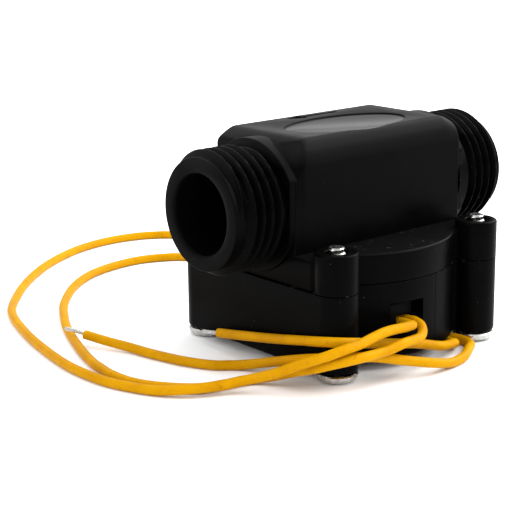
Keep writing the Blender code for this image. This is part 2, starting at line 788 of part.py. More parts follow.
def make_thrust_washer(finish):
    bottom = WET_FLOOR_Z + GAP
    inner = AXLE_RADIUS + GAP
    top = bottom + WASHER_THICKNESS
    profile = [(inner, bottom), (WASHER_RADIUS, bottom), (WASHER_RADIUS, top), (inner, top)]
    return turned_ring("thrust_washer", profile, SMALL_SIDES, finish)


def make_bottom_cover(finish):
    """The lid of the dry pocket, with four posts that carry the board."""
    radius = COVER_SEAT_RADIUS - GAP
    rim = rounded_rim(radius, COVER_EDGE_ROUND, 1)
    profile = [(r, HOUSING_BOTTOM_Z + drop) for r, drop in reversed(rim)] + [(radius, cover_top_z())]
    body = turned("bottom_cover", profile, ROUND_SIDES, finish=finish)
    post_x = BOARD_LENGTH / 2.0 - POST_INSET
    post_y = BOARD_WIDTH / 2.0 - POST_INSET
    post = [(POST_RADIUS, cover_top_z() - OVERLAP), (POST_RADIUS, BOARD_Z - GAP)]
    for x in (-post_x, post_x):
        for y in (BOARD_CENTRE_Y - post_y, BOARD_CENTRE_Y + post_y):
            join(body, turned("post", post, SMALL_SIDES, (x, y)))
    return body


def make_circuit_board(finish):
    x = BOARD_LENGTH / 2.0
    y = BOARD_WIDTH / 2.0
    top = BOARD_Z + BOARD_THICKNESS
    return box("circuit_board", -x, x, BOARD_CENTRE_Y - y, BOARD_CENTRE_Y + y, BOARD_Z, top, finish)


def reed_axis_z():
    return BOARD_Z + BOARD_THICKNESS + GAP + REED_RADIUS


def make_reed_switch(finish):
    """A glass capsule along X, over the board and beside the bearing boss."""
    end = REED_LENGTH / 2.0
    stations = []
    for step in range(REED_END_STEPS + 1):
        angle = math.pi / 2.0 * (step + 0.5) / (REED_END_STEPS + 0.5)
        stations.append((-end + REED_RADIUS * (1.0 - math.sin(angle)), REED_RADIUS * math.sin(angle)))
    stations = [(-end, stations[0][1])] + stations[1:]
    stations += [(-x, radius) for x, radius in reversed(stations)]
    sections = [[(x, REED_Y + c, reed_axis_z() + s) for c, s in circle(r, REED_SIDES)] for x, r in stations]
    return loft("reed_switch", sections, finish)


def tube(name, points, radius, finish, bevel_resolution=2):
    """A round wire along its points, as a curve with filled ends."""
    curve = bpy.data.curves.new(name, "CURVE")
    curve.dimensions = "3D"
    curve.bevel_depth = radius
    curve.bevel_resolution = bevel_resolution
    curve.use_fill_caps = True
    curve.materials.append(finish)
    spline = curve.splines.new("POLY")
    spline.points.add(len(points) - 1)
    for slot, point in zip(spline.points, points):
        slot.co = (*point, 1.0)
    made = bpy.data.objects.new(name, curve)
    bpy.context.scene.collection.objects.link(made)
    return made


def smooth_path(points):
    """Points on a Catmull-Rom curve through the route's own points, closer together where it bends."""
    route = [Vector(p) for p in points]
    route = [2.0 * route[0] - route[1]] + route + [2.0 * route[-1] - route[-2]]
    result = []
    for before, start, end, after in zip(route, route[1:], route[2:], route[3:]):
        turn = math.degrees((end - before).angle(after - start))
        by_length = math.ceil((end - start).length / WIRE_LONGEST_STEP)
        steps = max(1, round(turn / WIRE_TURN_STEP_DEG), by_length)
        for step in range(steps):
            t = step / steps
            first = 2.0 * start + (end - before) * t
            second = (2.0 * before - 5.0 * start + 4.0 * end - after) * t * t
            third = (3.0 * start - before - 3.0 * end + after) * t * t * t
            result.append((first + second + third) / 2.0)
    result.append(route[-2])
    return result


def kept_off_the_floor(points, radius):
    """The same points, none lower than a wire of this radius lies on the surface."""
    return [(p.x, p.y, max(p.z, radius)) for p in points]


def make_reed_lead(name, side, finish):
    """A short wire from the end of the glass, bent down to the board."""
    start_x = side * (REED_LENGTH / 2.0 + GAP)
    bend_x = start_x + side * REED_LEAD_REACH
    end_z = BOARD_Z + BOARD_THICKNESS + GAP
    route = [
        (start_x, REED_Y, reed_axis_z()),
        (bend_x - side * REED_LEAD_BEND, REED_Y, reed_axis_z()),
        (bend_x, REED_Y, reed_axis_z() - REED_LEAD_BEND),
        (bend_x, REED_Y, end_z),
    ]
    return tube(name, route, REED_LEAD_RADIUS, finish)


def make_board_lead(name, wire_x, finish):
    """The inner end of a wire, from its solder joint on the board to the wire window."""
    board_z = BOARD_Z + BOARD_THICKNESS + GAP + WIRE_RADIUS
    board_edge_y = BOARD_CENTRE_Y - BOARD_WIDTH / 2.0
    route = [
        (wire_x + LEAD_SHIFT_X, board_edge_y + LEAD_ON_BOARD, board_z),
        (wire_x + LEAD_SHIFT_X, board_edge_y, board_z),
        (wire_x, (board_edge_y + wire_start_y()) / 2.0, (board_z + WIRE_EXIT_Z) / 2.0),
        (wire_x, -DRY_RADIUS, WIRE_EXIT_Z),
        (wire_x, wire_start_y() + GAP, WIRE_EXIT_Z),
    ]
    return tube(name, smooth_path(route), WIRE_RADIUS, finish)


def make_wire(name, wire_x, route, finish):
    start = [(wire_x, wire_start_y(), WIRE_EXIT_Z), (wire_x, -DRUM_RADIUS, WIRE_EXIT_Z)]
    points = kept_off_the_floor(smooth_path(start + route), WIRE_RADIUS)
    return tube(name, points, WIRE_RADIUS, finish)


def make_screw(name, place, finish):
    """A pan head screw put in from below, with its tip out of the boss top."""
    profile = [
        (SCREW_HEAD_FLAT_RADIUS, 0.0),
        (SCREW_HEAD_SHOULDER_RADIUS, SCREW_HEAD_CROWN),
        (SCREW_HEAD_RADIUS, SCREW_HEAD_HEIGHT - SCREW_HEAD_WALL),
        (SCREW_HEAD_RADIUS, SCREW_HEAD_HEIGHT),
        (SCREW_RADIUS, SCREW_HEAD_HEIGHT),
        (SCREW_RADIUS, SCREW_TIP_Z - SCREW_TIP_TAPER),
        (SCREW_TIP_RADIUS, SCREW_TIP_Z),
    ]
    body = turned(name, profile, BOSS_SIDES, place, finish)
    long_half = SCREW_RECESS_LENGTH / 2.0
    wide_half = SCREW_RECESS_WIDTH / 2.0
    x, y = place
    cross = [
        (long_half, -wide_half), (long_half, wide_half), (wide_half, wide_half),
        (wide_half, long_half), (-wide_half, long_half), (-wide_half, wide_half),
        (-long_half, wide_half), (-long_half, -wide_half), (-wide_half, -wide_half),
        (-wide_half, -long_half), (wide_half, -long_half), (wide_half, -wide_half),
    ]
    outline = [(x + dx, y + dy) for dx, dy in cross]
    cut(body, prism("recess", outline, -OVERLAP, SCREW_RECESS_DEPTH))
    return body


def main():
    for old in list(bpy.data.objects):
        bpy.data.objects.remove(old)

    black = material("black_plastic", (0.012, 0.012, 0.013), 0.38)
    steel = material("plated_steel", (0.62, 0.61, 0.59), 0.28, 1.0)
    make_upper_body(black)
    make_lower_housing(material("black_plastic_lower", (0.011, 0.011, 0.012), 0.4))
    make_wire_clamp(material("grey_plastic", (0.03, 0.03, 0.032), 0.5))
    make_seal_ring(material("seal_rubber", (0.015, 0.015, 0.015), 0.7))

    spin_axis = bpy.data.objects.new("impeller_axis", None)
    bpy.context.scene.collection.objects.link(spin_axis)
    make_impeller(material("white_plastic", (0.75, 0.75, 0.72), 0.45), spin_axis)
    make_magnet_ring(material("ferrite", (0.05, 0.048, 0.046), 0.55), spin_axis)
    make_axle(material("stainless_steel", (0.6, 0.6, 0.6), 0.25, 1.0))
    bearing = material("bearing_plastic", (0.55, 0.52, 0.46), 0.5)
    make_bearing("lower_bearing", lower_seat_z() + GAP, bearing)
    make_bearing("upper_bearing", CHAMBER_ROOF_Z + GAP, bearing)
    make_thrust_washer(material("washer_plastic", (0.8, 0.8, 0.78), 0.4))

    make_bottom_cover(material("black_plastic_cover", (0.012, 0.012, 0.012), 0.45))
    make_circuit_board(material("board_green", (0.02, 0.12, 0.05), 0.5))
    make_reed_switch(material("reed_glass", (0.35, 0.5, 0.4), 0.1))
    lead_metal = material("lead_metal", (0.55, 0.54, 0.5), 0.3, 1.0)
    make_reed_lead("reed_lead_left", -1.0, lead_metal)
    make_reed_lead("reed_lead_right", 1.0, lead_metal)
    for number, place in enumerate(boss_places(), 1):
        make_screw(f"screw_{number}", place, steel)

    yellow = material("yellow_insulation", (0.86, 0.45, 0.02), 0.45)
    tinned = material("tinned_copper", (0.72, 0.72, 0.71), 0.3, 1.0)
    make_board_lead("board_lead_a", WIRE_A_X, yellow)
    make_board_lead("board_lead_b", WIRE_B_X, yellow)
    make_wire("wire_a", WIRE_A_X, WIRE_A_ROUTE, yellow)
    make_wire("wire_b", WIRE_B_X, WIRE_B_ROUTE, yellow)
    tube("conductor_a", smooth_path(CONDUCTOR_A_ROUTE), CONDUCTOR_RADIUS, tinned)
    tube("conductor_b", smooth_path(CONDUCTOR_B_ROUTE), CONDUCTOR_RADIUS, tinned)


main()
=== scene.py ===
import math

import bmesh
import bpy
from mathutils import Matrix, Vector


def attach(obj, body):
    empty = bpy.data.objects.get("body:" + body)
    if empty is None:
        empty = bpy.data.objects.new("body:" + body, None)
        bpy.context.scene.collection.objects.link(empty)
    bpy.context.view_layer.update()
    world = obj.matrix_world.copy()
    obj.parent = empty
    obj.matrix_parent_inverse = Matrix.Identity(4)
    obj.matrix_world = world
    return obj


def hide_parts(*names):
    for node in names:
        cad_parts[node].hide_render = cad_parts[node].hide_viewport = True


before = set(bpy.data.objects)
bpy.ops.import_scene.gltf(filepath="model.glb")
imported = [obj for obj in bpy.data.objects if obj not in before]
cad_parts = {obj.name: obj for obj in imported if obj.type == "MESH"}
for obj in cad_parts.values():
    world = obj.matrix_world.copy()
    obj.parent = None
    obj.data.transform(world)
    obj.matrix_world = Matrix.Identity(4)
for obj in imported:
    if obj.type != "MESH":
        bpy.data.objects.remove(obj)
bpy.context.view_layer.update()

# Sizes are in metres and angles in radians.
# GAP is the room between two solids. OVERLAP is how far a cutter goes past a face, and
# JOIN_LAP how far one closed part of a piece goes into another.
GAP = 0.0003
OVERLAP = 0.0005
JOIN_LAP = 0.0001
MERGE_DISTANCE = 1e-7
FLAT_TOLERANCE = 1e-5
SHARP_ANGLE = math.radians(32.0)
BEVEL_ANGLE = math.radians(40.0)
BEVELLED_SHARP_ANGLE = math.radians(35.0)

# The pipe, its outside threads and its collars
PIPE_LENGTH = 0.0622
PIPE_AXIS_Z = 0.027
PIPE_BORE_RADIUS = 0.00666
PIPE_SIDES = 160
BORE_LEAD_IN = 0.0004

# The lead-in's curve, as shares of BORE_LEAD_IN back from the face and out from the bore
BORE_LEAD_IN_CURVE = [(0.45, 0.3), (0.12, 0.65), (0.0, 1.0)]

# How far behind the lead-in the bore has its rings
BORE_RINGS = (0.02, 0.012, 0.006, 0.0)

THREAD_MAJOR_RADIUS = 0.01048
THREAD_MINOR_RADIUS = 0.00932
THREAD_PITCH = 0.001814
THREAD_FIRST_CREST = 0.00137
THREAD_HALF_CREST = 0.00006
THREAD_HALF_ROOT = 0.00078
THREAD_FADE_TURNS = 0.15
THREAD_FACE_ROUND = 0.00012
THREAD_STEP = 0.00007

# The thread's flank is part straight and part S-shaped
THREAD_STRAIGHT_SHARE = 0.55
THREAD_CURVED_SHARE = 0.45

NECK_RADIUS = 0.0092
NECK_LENGTH = 0.00086
COLLAR_RADIUS = 0.0112
COLLAR_REACH = 0.0016
COLLAR_RIM_REACH = 0.00105
COLLAR_EDGE_ROUND = 0.00015
COLLAR_HALF_WIDTH = 0.0099
COLLAR_SINK = 0.003
SHOULDER_RADIUS = 0.01025
SHOULDER_REACH = 0.00225
SHOULDER_HALF_ANGLE = 1.15
SHOULDER_FADE_ANGLE = 0.35
SHOULDER_SLOPE = 0.0003
BAFFLE_THICKNESS = 0.006
BAFFLE_LAP = 0.0008
TUNNEL_SIDES = 48
TUNNEL_RADIUS = (PIPE_BORE_RADIUS + THREAD_MINOR_RADIUS) / 2.0

# The block on top, with its oval and its flow arrow
BLOCK_LENGTH = 0.0388
BLOCK_WIDTH = 0.02
BLOCK_TOP_Z = 0.0387
BLOCK_NEAR_ROUND = 0.0022
BLOCK_NEAR_DROP = 0.004
BLOCK_FAR_ROUND = 0.001
BLOCK_CORNER_ROUND = 0.00025
BLOCK_END_STEPS = 36
BLOCK_END_CROWDING = 1.5
BLOCK_BLEND_START = 0.0001
BLOCK_BLEND_LENGTH = 0.0026
BLOCK_BLEND_INSET = 0.00005

# Pairs of (distance from the block's end, how far the top lies below its full height there)
BLOCK_END_PROFILE = [
    (0.0, 0.0021), (0.00003, 0.00192), (0.0001, 0.00173), (0.00022, 0.00155), (0.0004, 0.00138),
    (0.00065, 0.00121), (0.001, 0.00101), (0.0014, 0.00079), (0.0018, 0.00058), (0.0022, 0.00038),
    (0.0025, 0.00025), (0.0028, 0.00014), (0.0031, 0.00006), (0.0034, 0.00001), (0.0038, 0.0),
]

OVAL_CENTRE_X = -0.0005
OVAL_CENTRE_Y = -0.0018
OVAL_HALF_LENGTH = 0.0127
OVAL_HALF_WIDTH = 0.0067
OVAL_DEPTH = 0.0003
OVAL_FLOOR_Z = BLOCK_TOP_Z - OVAL_DEPTH
OVAL_SIDES = 128

# The oval's lower and upper edge, as (height over the floor or the top, growth of the outline)
OVAL_FLOOR_EDGE = [(0.0, -0.00012), (0.00003, -0.00005), (0.0001, 0.0)]
OVAL_RIM = [(-0.0001, 0.0), (-0.00003, 0.00003), (0.0, 0.0001), (OVERLAP, 0.0001)]

ARROW_TIP_X = -0.0059
ARROW_HEAD_LENGTH = 0.0039
ARROW_END_X = 0.0059
ARROW_Y = 0.00745
ARROW_HEAD_WIDTH = 0.003
ARROW_SHAFT_WIDTH = 0.0009
ARROW_DEPTH = 0.0005

# The round drum: the flange above the seam and the housing below it
DRUM_RADIUS = 0.02
DRUM_FLAT_X = 0.0198
DRUM_FLAT_END_Y = 0.0139
DRUM_ARC_STEPS = 56
SEAM_Z = 0.0149
SEAM_GAP = 0.00012
FLANGE_TOP_Z = 0.02
FLANGE_EDGE_ROUND = 0.0005
HOUSING_BOTTOM_Z = 0.0018
HOUSING_EDGE_ROUND = 0.0005
SEAM_EDGE_ROUND = 0.00008

# The four bosses and their screws
BOSS_X = 0.0166
BOSS_Y = 0.0167
BOSS_RADIUS = 0.00362
LOWER_BOSS_RADIUS = 0.0036
BOSS_TOP_Z = 0.0216
BOSS_EDGE_ROUND = 0.0004
BOSS_SIDES = 72
BOSS_PLACES = [(-BOSS_X, -BOSS_Y), (BOSS_X, -BOSS_Y), (BOSS_X, BOSS_Y), (-BOSS_X, BOSS_Y)]
HOLE_SIDES = 40

# The soft rim of a screw's hole, as (growth of the hole, depth under the boss's top)
HOLE_RIM = [(0.0004, 0.0), (0.00012, 0.00004), (0.0, 0.00016)]

SCREW_SIDES = 48
SCREW_HEAD_RADIUS = 0.0036
SCREW_HEAD_FLAT_RADIUS = 0.0022
SCREW_HEAD_HEIGHT = 0.0015
SCREW_HEAD_STEPS = 8
SCREW_HEAD_DISH = 0.00002
SCREW_HEAD_RIM = 0.0005
SCREW_HEAD_CHAMFER = 0.0002
SCREW_RADIUS = 0.0015
SCREW_CORE_RADIUS = 0.00118
SCREW_PITCH = 0.0011
SCREW_HALF_RIDGE = 0.3
SCREW_STEP = 0.00008
SCREW_THREAD_START_Z = 0.0125
SCREW_TIP_Z = 0.0224
SCREW_TIP_RADIUS = 0.0012
SCREW_TIP_TAPER = 0.0004
SCREW_TIP_MARGIN = 0.00005
SCREW_RECESS_LENGTH = 0.0038
SCREW_RECESS_WIDTH = 0.0009
SCREW_RECESS_DEPTH = 0.0011

# The last two rings of a screw, as (share of the tip's radius, distance under the tip)
SCREW_TIP_ROUND = [(0.97, 0.00003), (0.75, 0.0)]

# The inside
CHAMBER_SIDES = 96
CHAMBER_RADIUS = 0.0162
CHAMBER_ROOF_Z = 0.0178
WET_FLOOR_Z = 0.0128
PORT_CENTRE_X = 0.0105
PORT_CENTRE_Y = -0.0028
PORT_LENGTH = 0.006
PORT_WIDTH = 0.005
SEAL_RADIUS = 0.0176
SEAL_CORD_RADIUS = 0.00055
BEARING_RADIUS = 0.002
BEARING_LENGTH = 0.0016
BEARING_WALL = 0.0012
CUP_SIDES = 48
PARTITION_THICKNESS = 0.0012
DRY_RADIUS = 0.015
COVER_SEAT_RADIUS = 0.0162
COVER_THICKNESS = 0.0015
COVER_EDGE_ROUND = 0.0003
COVER_SIDES = 128
BOARD_Z = 0.0056
BOARD_LENGTH = 0.018
BOARD_WIDTH = 0.012
BOARD_CENTRE_Y = 0.0005
POST_INSET = 0.0018
POST_RADIUS = 0.0011
POST_SIDES = 32

# The wire window, the clamp in it, the mould line beside it and the wires
WINDOW_LEFT_X = -0.0066
WINDOW_RIGHT_X = 0.0002
WINDOW_TOP_Z = 0.0113
CLAMP_RIGHT_X = -0.001
CLAMP_LIP = 0.0009
CLAMP_RECESS = 0.0003
CLAMP_EDGE_ROUND = 0.00025
MOULD_LINE_X = 0.0034
MOULD_LINE_WIDTH = 0.00012
MOULD_LINE_DEPTH = 0.0001
WIRE_RADIUS = 0.00083
WIRE_EXIT_Z = 0.0075
WIRE_A_X = -0.0035
WIRE_B_X = -0.0016
WIRE_START_Y = -0.019
WIRE_SPACING = 0.0006
CONDUCTOR_RADIUS = 0.00035
STRAND_RADIUS = 0.000125
STRAND_SPACING = 0.0001
STRAND_LAY = 0.03
STRAND_FLARE = 0.12
STRAND_WANDER = 0.04

# How many points each strand is cut short by, so that the ends aren't level
STRAND_TRIM = (0, 3, 1, 4, 2, 5, 0)

# The free routes of the two wires after the window; a point without a height lies on the floor
WIRE_A_ROUTE = [
    (-0.0039, -0.0213, 0.0076), (-0.0050, -0.0224, 0.0082), (-0.0070, -0.0230, 0.0084),
    (-0.0119, -0.0231, 0.0086), (-0.0176, -0.0233, 0.0079), (-0.0209, -0.0232, 0.0077),
    (-0.0237, -0.0222, 0.007), (-0.0266, -0.0191, 0.0055), (-0.0288, -0.0163, 0.004),
    (-0.0306, -0.0130, 0.0026), (-0.0331, -0.0111, 0.002), (-0.0354, -0.0098, 0.0016),
    (-0.0390, -0.0080, 0.0015), (-0.0427, -0.0039, 0.001), (-0.0452, 0.0014), (-0.0467, 0.0072),
    (-0.0469, 0.0158), (-0.0453, 0.0261), (-0.0426, 0.0371), (-0.0384, 0.0486), (-0.0327, 0.0567),
    (-0.0247, 0.0655), (-0.0150, 0.0736), (-0.0049, 0.0793), (0.0034, 0.0816), (0.0103, 0.0815),
    (0.0161, 0.0796), (0.0211, 0.0755), (0.0252, 0.0680), (0.0262, 0.0590), (0.0238, 0.0480),
    (0.0190, 0.0370), (0.0138, 0.0260), (0.0112, 0.0150), (0.0108, 0.0030), (0.0110, -0.0080),
    (0.0116, -0.0150), (0.0121, -0.0184), (0.0114, -0.0207), (0.0094, -0.0222), (0.0056, -0.0245),
    (0.0019, -0.0254, 0.0009), (-0.0021, -0.0258, 0.0018), (-0.0056, -0.0250, 0.0026),
    (-0.0104, -0.0234, 0.0038), (-0.0135, -0.0225, 0.0046), (-0.0165, -0.0216, 0.005),
    (-0.0199, -0.0205, 0.0053), (-0.0223, -0.0180, 0.0052), (-0.0232, -0.0150, 0.0045),
    (-0.0237, -0.0097, 0.0029), (-0.0245, -0.0048, 0.0014), (-0.0261, -0.0019), (-0.0286, 0.0004),
    (-0.0310, 0.0053), (-0.0327, 0.0116), (-0.0339, 0.0172, 0.001), (-0.0356, 0.0215, 0.0014),
    (-0.0370, 0.0260, 0.0018),
]
CONDUCTOR_A_ROUTE = [
    (-0.0372, 0.0263, 0.0020), (-0.0383, 0.0276, 0.0025), (-0.0395, 0.0287, 0.0028),
]
WIRE_B_ROUTE = [
    (-0.0017, -0.0213, 0.0072), (-0.0024, -0.0224, 0.0065), (-0.0040, -0.0233, 0.006),
    (-0.0060, -0.0237, 0.0061), (-0.0090, -0.0243, 0.0063), (-0.0127, -0.0241, 0.0058),
    (-0.0183, -0.0240, 0.0059), (-0.0226, -0.0220, 0.0053), (-0.0239, -0.0190, 0.0041),
    (-0.0246, -0.0156, 0.0029), (-0.0260, -0.0123, 0.0017), (-0.0284, -0.0092), (-0.0332, -0.0081),
    (-0.0374, -0.0066), (-0.0413, -0.0023), (-0.0435, 0.0024), (-0.0440, 0.0075),
    (-0.0435, 0.0115), (-0.0428, 0.0151), (-0.0406, 0.0221), (-0.0364, 0.0324), (-0.0327, 0.0395),
    (-0.0277, 0.0473), (-0.0202, 0.0556), (-0.0131, 0.0607), (-0.0063, 0.0632), (0.0007, 0.0638),
    (0.0062, 0.0622), (0.0105, 0.0591), (0.0138, 0.0530), (0.0142, 0.0450), (0.0120, 0.0340),
    (0.0095, 0.0240), (0.0088, 0.0130), (0.0088, 0.0010), (0.0090, -0.0100), (0.0097, -0.0150),
    (0.0098, -0.0170), (0.0092, -0.0189, 0.001), (0.0075, -0.0204, 0.0018),
    (0.0033, -0.0215, 0.0025), (-0.0032, -0.0216, 0.0044), (-0.0100, -0.0216, 0.0059),
    (-0.0160, -0.0215, 0.0073), (-0.0196, -0.0204, 0.0079), (-0.0213, -0.0174, 0.0077),
    (-0.0213, -0.0133, 0.0069), (-0.0213, -0.0074, 0.0057), (-0.0213, -0.0007, 0.0045),
    (-0.0214, 0.0078, 0.0031),
]
CONDUCTOR_B_ROUTE = [
    (-0.0214, 0.0081, 0.0030), (-0.0213, 0.0105, 0.0026), (-0.0211, 0.0128, 0.0022),
]

# Colours, and the span that a noise's values mostly keep to
NEAR_BLACK = [(0.0007, 0.0007, 0.0007), (0.0013, 0.0013, 0.0013)]
SPECK_COLOUR = (0.035, 0.035, 0.035)
RUBBED_COLOUR = (0.045, 0.045, 0.043)
# Painted light: a paler colour mixed into the black plastic from the first height up to the
# second. It stands in for the light that the block's top, its near round and the collar and thread
# tops catch.
PAINTED_LIGHT_COLOUR = (0.0068, 0.0068, 0.0066)
PAINTED_LIGHT_FROM_Z = 0.0342
PAINTED_LIGHT_FULL_Z = 0.0372
NOISE_LOW = 0.3
NOISE_HIGH = 0.7

# The floor, the softboxes as (name, place, width, height, power) and the camera
FLOOR_HALF_SIDE = 3.0
FLOOR_DROP = 0.00002
LIGHT_TARGET = Vector((0.0, 0.0, 0.02))
SOFTBOXES = [
    ("top_softbox", (0.25, 0.2, 0.8), 1.4, 1.4, 5.5),
    ("left_softbox", (-0.75, 0.05, 0.45), 0.5, 0.5, 2.2),
    ("right_softbox", (0.75, -0.3, 0.64), 1.5, 0.7, 18.0),
]
CAMERA_AZIMUTH = math.radians(-39.935)
CAMERA_ELEVATION = math.radians(14.990)
CAMERA_ROLL = math.radians(-0.675)
CAMERA_DISTANCE = 0.241309
CAMERA_TARGET = Vector((-0.019356, 0.0, 0.018065))


def add_object(name, data):
    made = bpy.data.objects.new(name, data)
    bpy.context.scene.collection.objects.link(made)
    return made


def unit(value):
    """The value held between 0 and 1."""
    return min(1.0, max(0.0, value))


def eased(share):
    """A share of the way from 0 to 1 with a soft start and end."""
    return share * share * (3.0 - 2.0 * share)


# Materials. The helpers that add nodes give back the socket to link on from.

def new_material(name):
    made = bpy.data.materials.new(name)
    made.use_nodes = True
    tree = made.node_tree
    return made, tree, tree.nodes["Principled BSDF"]


def noise(tree, scale, detail, roughness=0.55, stretch=(1.0, 1.0, 1.0)):
    place = tree.nodes.new("ShaderNodeTexCoord")
    mapping = tree.nodes.new("ShaderNodeMapping")
    mapping.inputs["Scale"].default_value = stretch
    made = tree.nodes.new("ShaderNodeTexNoise")
    made.inputs["Scale"].default_value = scale
    made.inputs["Detail"].default_value = detail
    made.inputs["Roughness"].default_value = roughness
    tree.links.new(place.outputs["Object"], mapping.inputs["Vector"])
    tree.links.new(mapping.outputs["Vector"], made.inputs["Vector"])
    return made.outputs["Fac"]


def colour_ramp(tree, source, stops):
    ramp = tree.nodes.new("ShaderNodeValToRGB")
    elements = ramp.color_ramp.elements
    elements[0].position, elements[0].color = stops[0][0], (*stops[0][1], 1.0)
    elements[1].position, elements[1].color = stops[-1][0], (*stops[-1][1], 1.0)
    for position, colour in stops[1:-1]:
        elements.new(position).color = (*colour, 1.0)
    tree.links.new(source, ramp.inputs["Fac"])
    return ramp.outputs["Color"]


def value_range(tree, source, low, high, from_low, from_high):
    """From low to high while the source goes from one value to the other, and held beyond."""
    made = tree.nodes.new("ShaderNodeMapRange")
    made.inputs["From Min"].default_value = from_low
    made.inputs["From Max"].default_value = from_high
    made.inputs["To Min"].default_value = low
    made.inputs["To Max"].default_value = high
    tree.links.new(source, made.inputs["Value"])
    return made.outputs["Result"]


def maths(tree, operation, *values):
    """A Math node on sockets or plain numbers."""
    made = tree.nodes.new("ShaderNodeMath")
    made.operation = operation
    for socket, value in zip(made.inputs, values):
        if isinstance(value, float):
            socket.default_value = value
        else:
            tree.links.new(value, socket)
    return made.outputs["Value"]


def upward(tree, coordinate):
    """The z part of a coordinate: the height for Object, how far a face looks up for Normal."""
    place = tree.nodes.new("ShaderNodeTexCoord")
    split = tree.nodes.new("ShaderNodeSeparateXYZ")
    tree.links.new(place.outputs[coordinate], split.inputs["Vector"])
    return split.outputs["Z"]


def mix_in(made, amount, colour):
    """Mix a colour over the material's base colour by an amount between 0 and 1."""
    tree = made.node_tree
    base = tree.nodes["Principled BSDF"].inputs["Base Color"]
    mix = tree.nodes.new("ShaderNodeMix")
    mix.data_type = "RGBA"
    tree.links.new(amount, mix.inputs["Factor"])
    tree.links.new(base.links[0].from_socket, mix.inputs["A"])
    mix.inputs["B"].default_value = (*colour, 1.0)
    tree.links.new(mix.outputs["Result"], base)


def vary(tree, shader, source, stops, rough_low, rough_high):
    """Let one noise vary the colour through its stops and the roughness between two values."""
    tree.links.new(colour_ramp(tree, source, stops), shader.inputs["Base Color"])
    rough = value_range(tree, source, rough_low, rough_high, NOISE_LOW, NOISE_HIGH)
    tree.links.new(rough, shader.inputs["Roughness"])


def add_bump(tree, shader, layers):
    """Bump from (height socket, strength, distance) layers, one after the other."""
    normal = None
    for height, strength, distance in layers:
        bump = tree.nodes.new("ShaderNodeBump")
        bump.inputs["Strength"].default_value = strength
        bump.inputs["Distance"].default_value = distance
        tree.links.new(height, bump.inputs["Height"])
        if normal is not None:
            tree.links.new(normal, bump.inputs["Normal"])
        normal = bump.outputs["Normal"]
    tree.links.new(normal, shader.inputs["Normal"])


def moulded_plastic(name, dark, light, rough_low, rough_high, ior=1.45, grain=0.35, wave=0.2):
    """Moulded plastic, faintly cloudy, with a fine grain and slow waves of shrinkage."""
    made, tree, shader = new_material(name)
    cloud = noise(tree, 160.0, 5.0)
    fine = noise(tree, 5200.0, 3.0)
    slow = noise(tree, 90.0, 2.0)
    vary(tree, shader, cloud, [(0.35, dark), (0.7, light)], rough_low, rough_high)
    shader.inputs["IOR"].default_value = ior
    add_bump(tree, shader, [(slow, wave, 0.0004), (fine, grain, 0.00002)])
    return made


def scuffed_plastic(name, dark, light, rough_low, rough_high, ior):
    """Moulded plastic with a few pale rubbed specks."""
    made = moulded_plastic(name, dark, light, rough_low, rough_high, ior)
    tree = made.node_tree
    specks = noise(tree, 1500.0, 2.0, 0.4, (1.0, 1.0, 2.0))
    mix_in(made, value_range(tree, specks, 0.0, 1.0, 0.76, 0.8), SPECK_COLOUR)
    return made


def paint_light_high(made):
    """Mix a paler colour into a plastic where it lies high: painted light on its upper faces and
    rounds.
    """
    # Painted light: the share grows with height, so the tops read as lit.
    tree = made.node_tree
    share = value_range(tree, upward(tree, "Object"), 0.0, 1.0, PAINTED_LIGHT_FROM_Z, PAINTED_LIGHT_FULL_Z)
    mix_in(made, share, PAINTED_LIGHT_COLOUR)


def rubbed_band(made, centre_z, half_height, tone, threshold, facing_up=False):
    """A paler tone and rubbed specks round the part at one height, as on a rim or a seam."""
    tree = made.node_tree
    away = maths(tree, "ABSOLUTE", maths(tree, "SUBTRACT", upward(tree, "Object"), centre_z))
    share = value_range(tree, away, 1.0, 0.0, half_height * 0.6, half_height)
    specks = noise(tree, 1300.0, 3.0, 0.6, (0.6, 0.6, 1.0))
    wear = value_range(tree, specks, tone, 1.0, threshold, threshold + 0.07)
    amount = maths(tree, "MULTIPLY", share, wear)
    if facing_up:
        facing = value_range(tree, upward(tree, "Normal"), 0.0, 1.0, 0.3, 0.95)
        amount = maths(tree, "MULTIPLY", amount, facing)
    mix_in(made, amount, RUBBED_COLOUR)


def metal(name, dark, light, rough_low, rough_high, stretch=(1.0, 1.0, 1.0), bump=0.25):
    """Plated or drawn metal with small changes of colour and gloss and a fine grain."""
    made, tree, shader = new_material(name)
    grain = noise(tree, 1200.0, 5.0, 0.6, stretch)
    vary(tree, shader, grain, [(0.3, dark), (0.7, light)], rough_low, rough_high)
    shader.inputs["Metallic"].default_value = 1.0
    add_bump(tree, shader, [(grain, bump, 0.00003)])
    return made


def insulation(name):
    """Soft yellow insulation with darker rubbed patches and a waxy sheen."""
    made, tree, shader = new_material(name)
    cloud = noise(tree, 240.0, 5.0, 0.6)
    spots = noise(tree, 1100.0, 3.0, 0.5)
    stops = [
        (0.3, (0.43, 0.19, 0.0003)), (0.5, (0.49, 0.23, 0.0005)), (0.72, (0.55, 0.265, 0.001)),
    ]
    vary(tree, shader, cloud, stops, 0.32, 0.5)
    mix_in(made, value_range(tree, spots, 0.0, 0.55, 0.62, 0.75), (0.3, 0.12, 0.002))
    shader.inputs["Specular IOR Level"].default_value = 0.03
    shader.inputs["Subsurface Weight"].default_value = 0.08
    shader.inputs["Subsurface Scale"].default_value = 0.0006
    shader.inputs["Subsurface Radius"].default_value = (1.0, 0.5, 0.1)
    add_bump(tree, shader, [(spots, 0.25, 0.00004)])
    return made


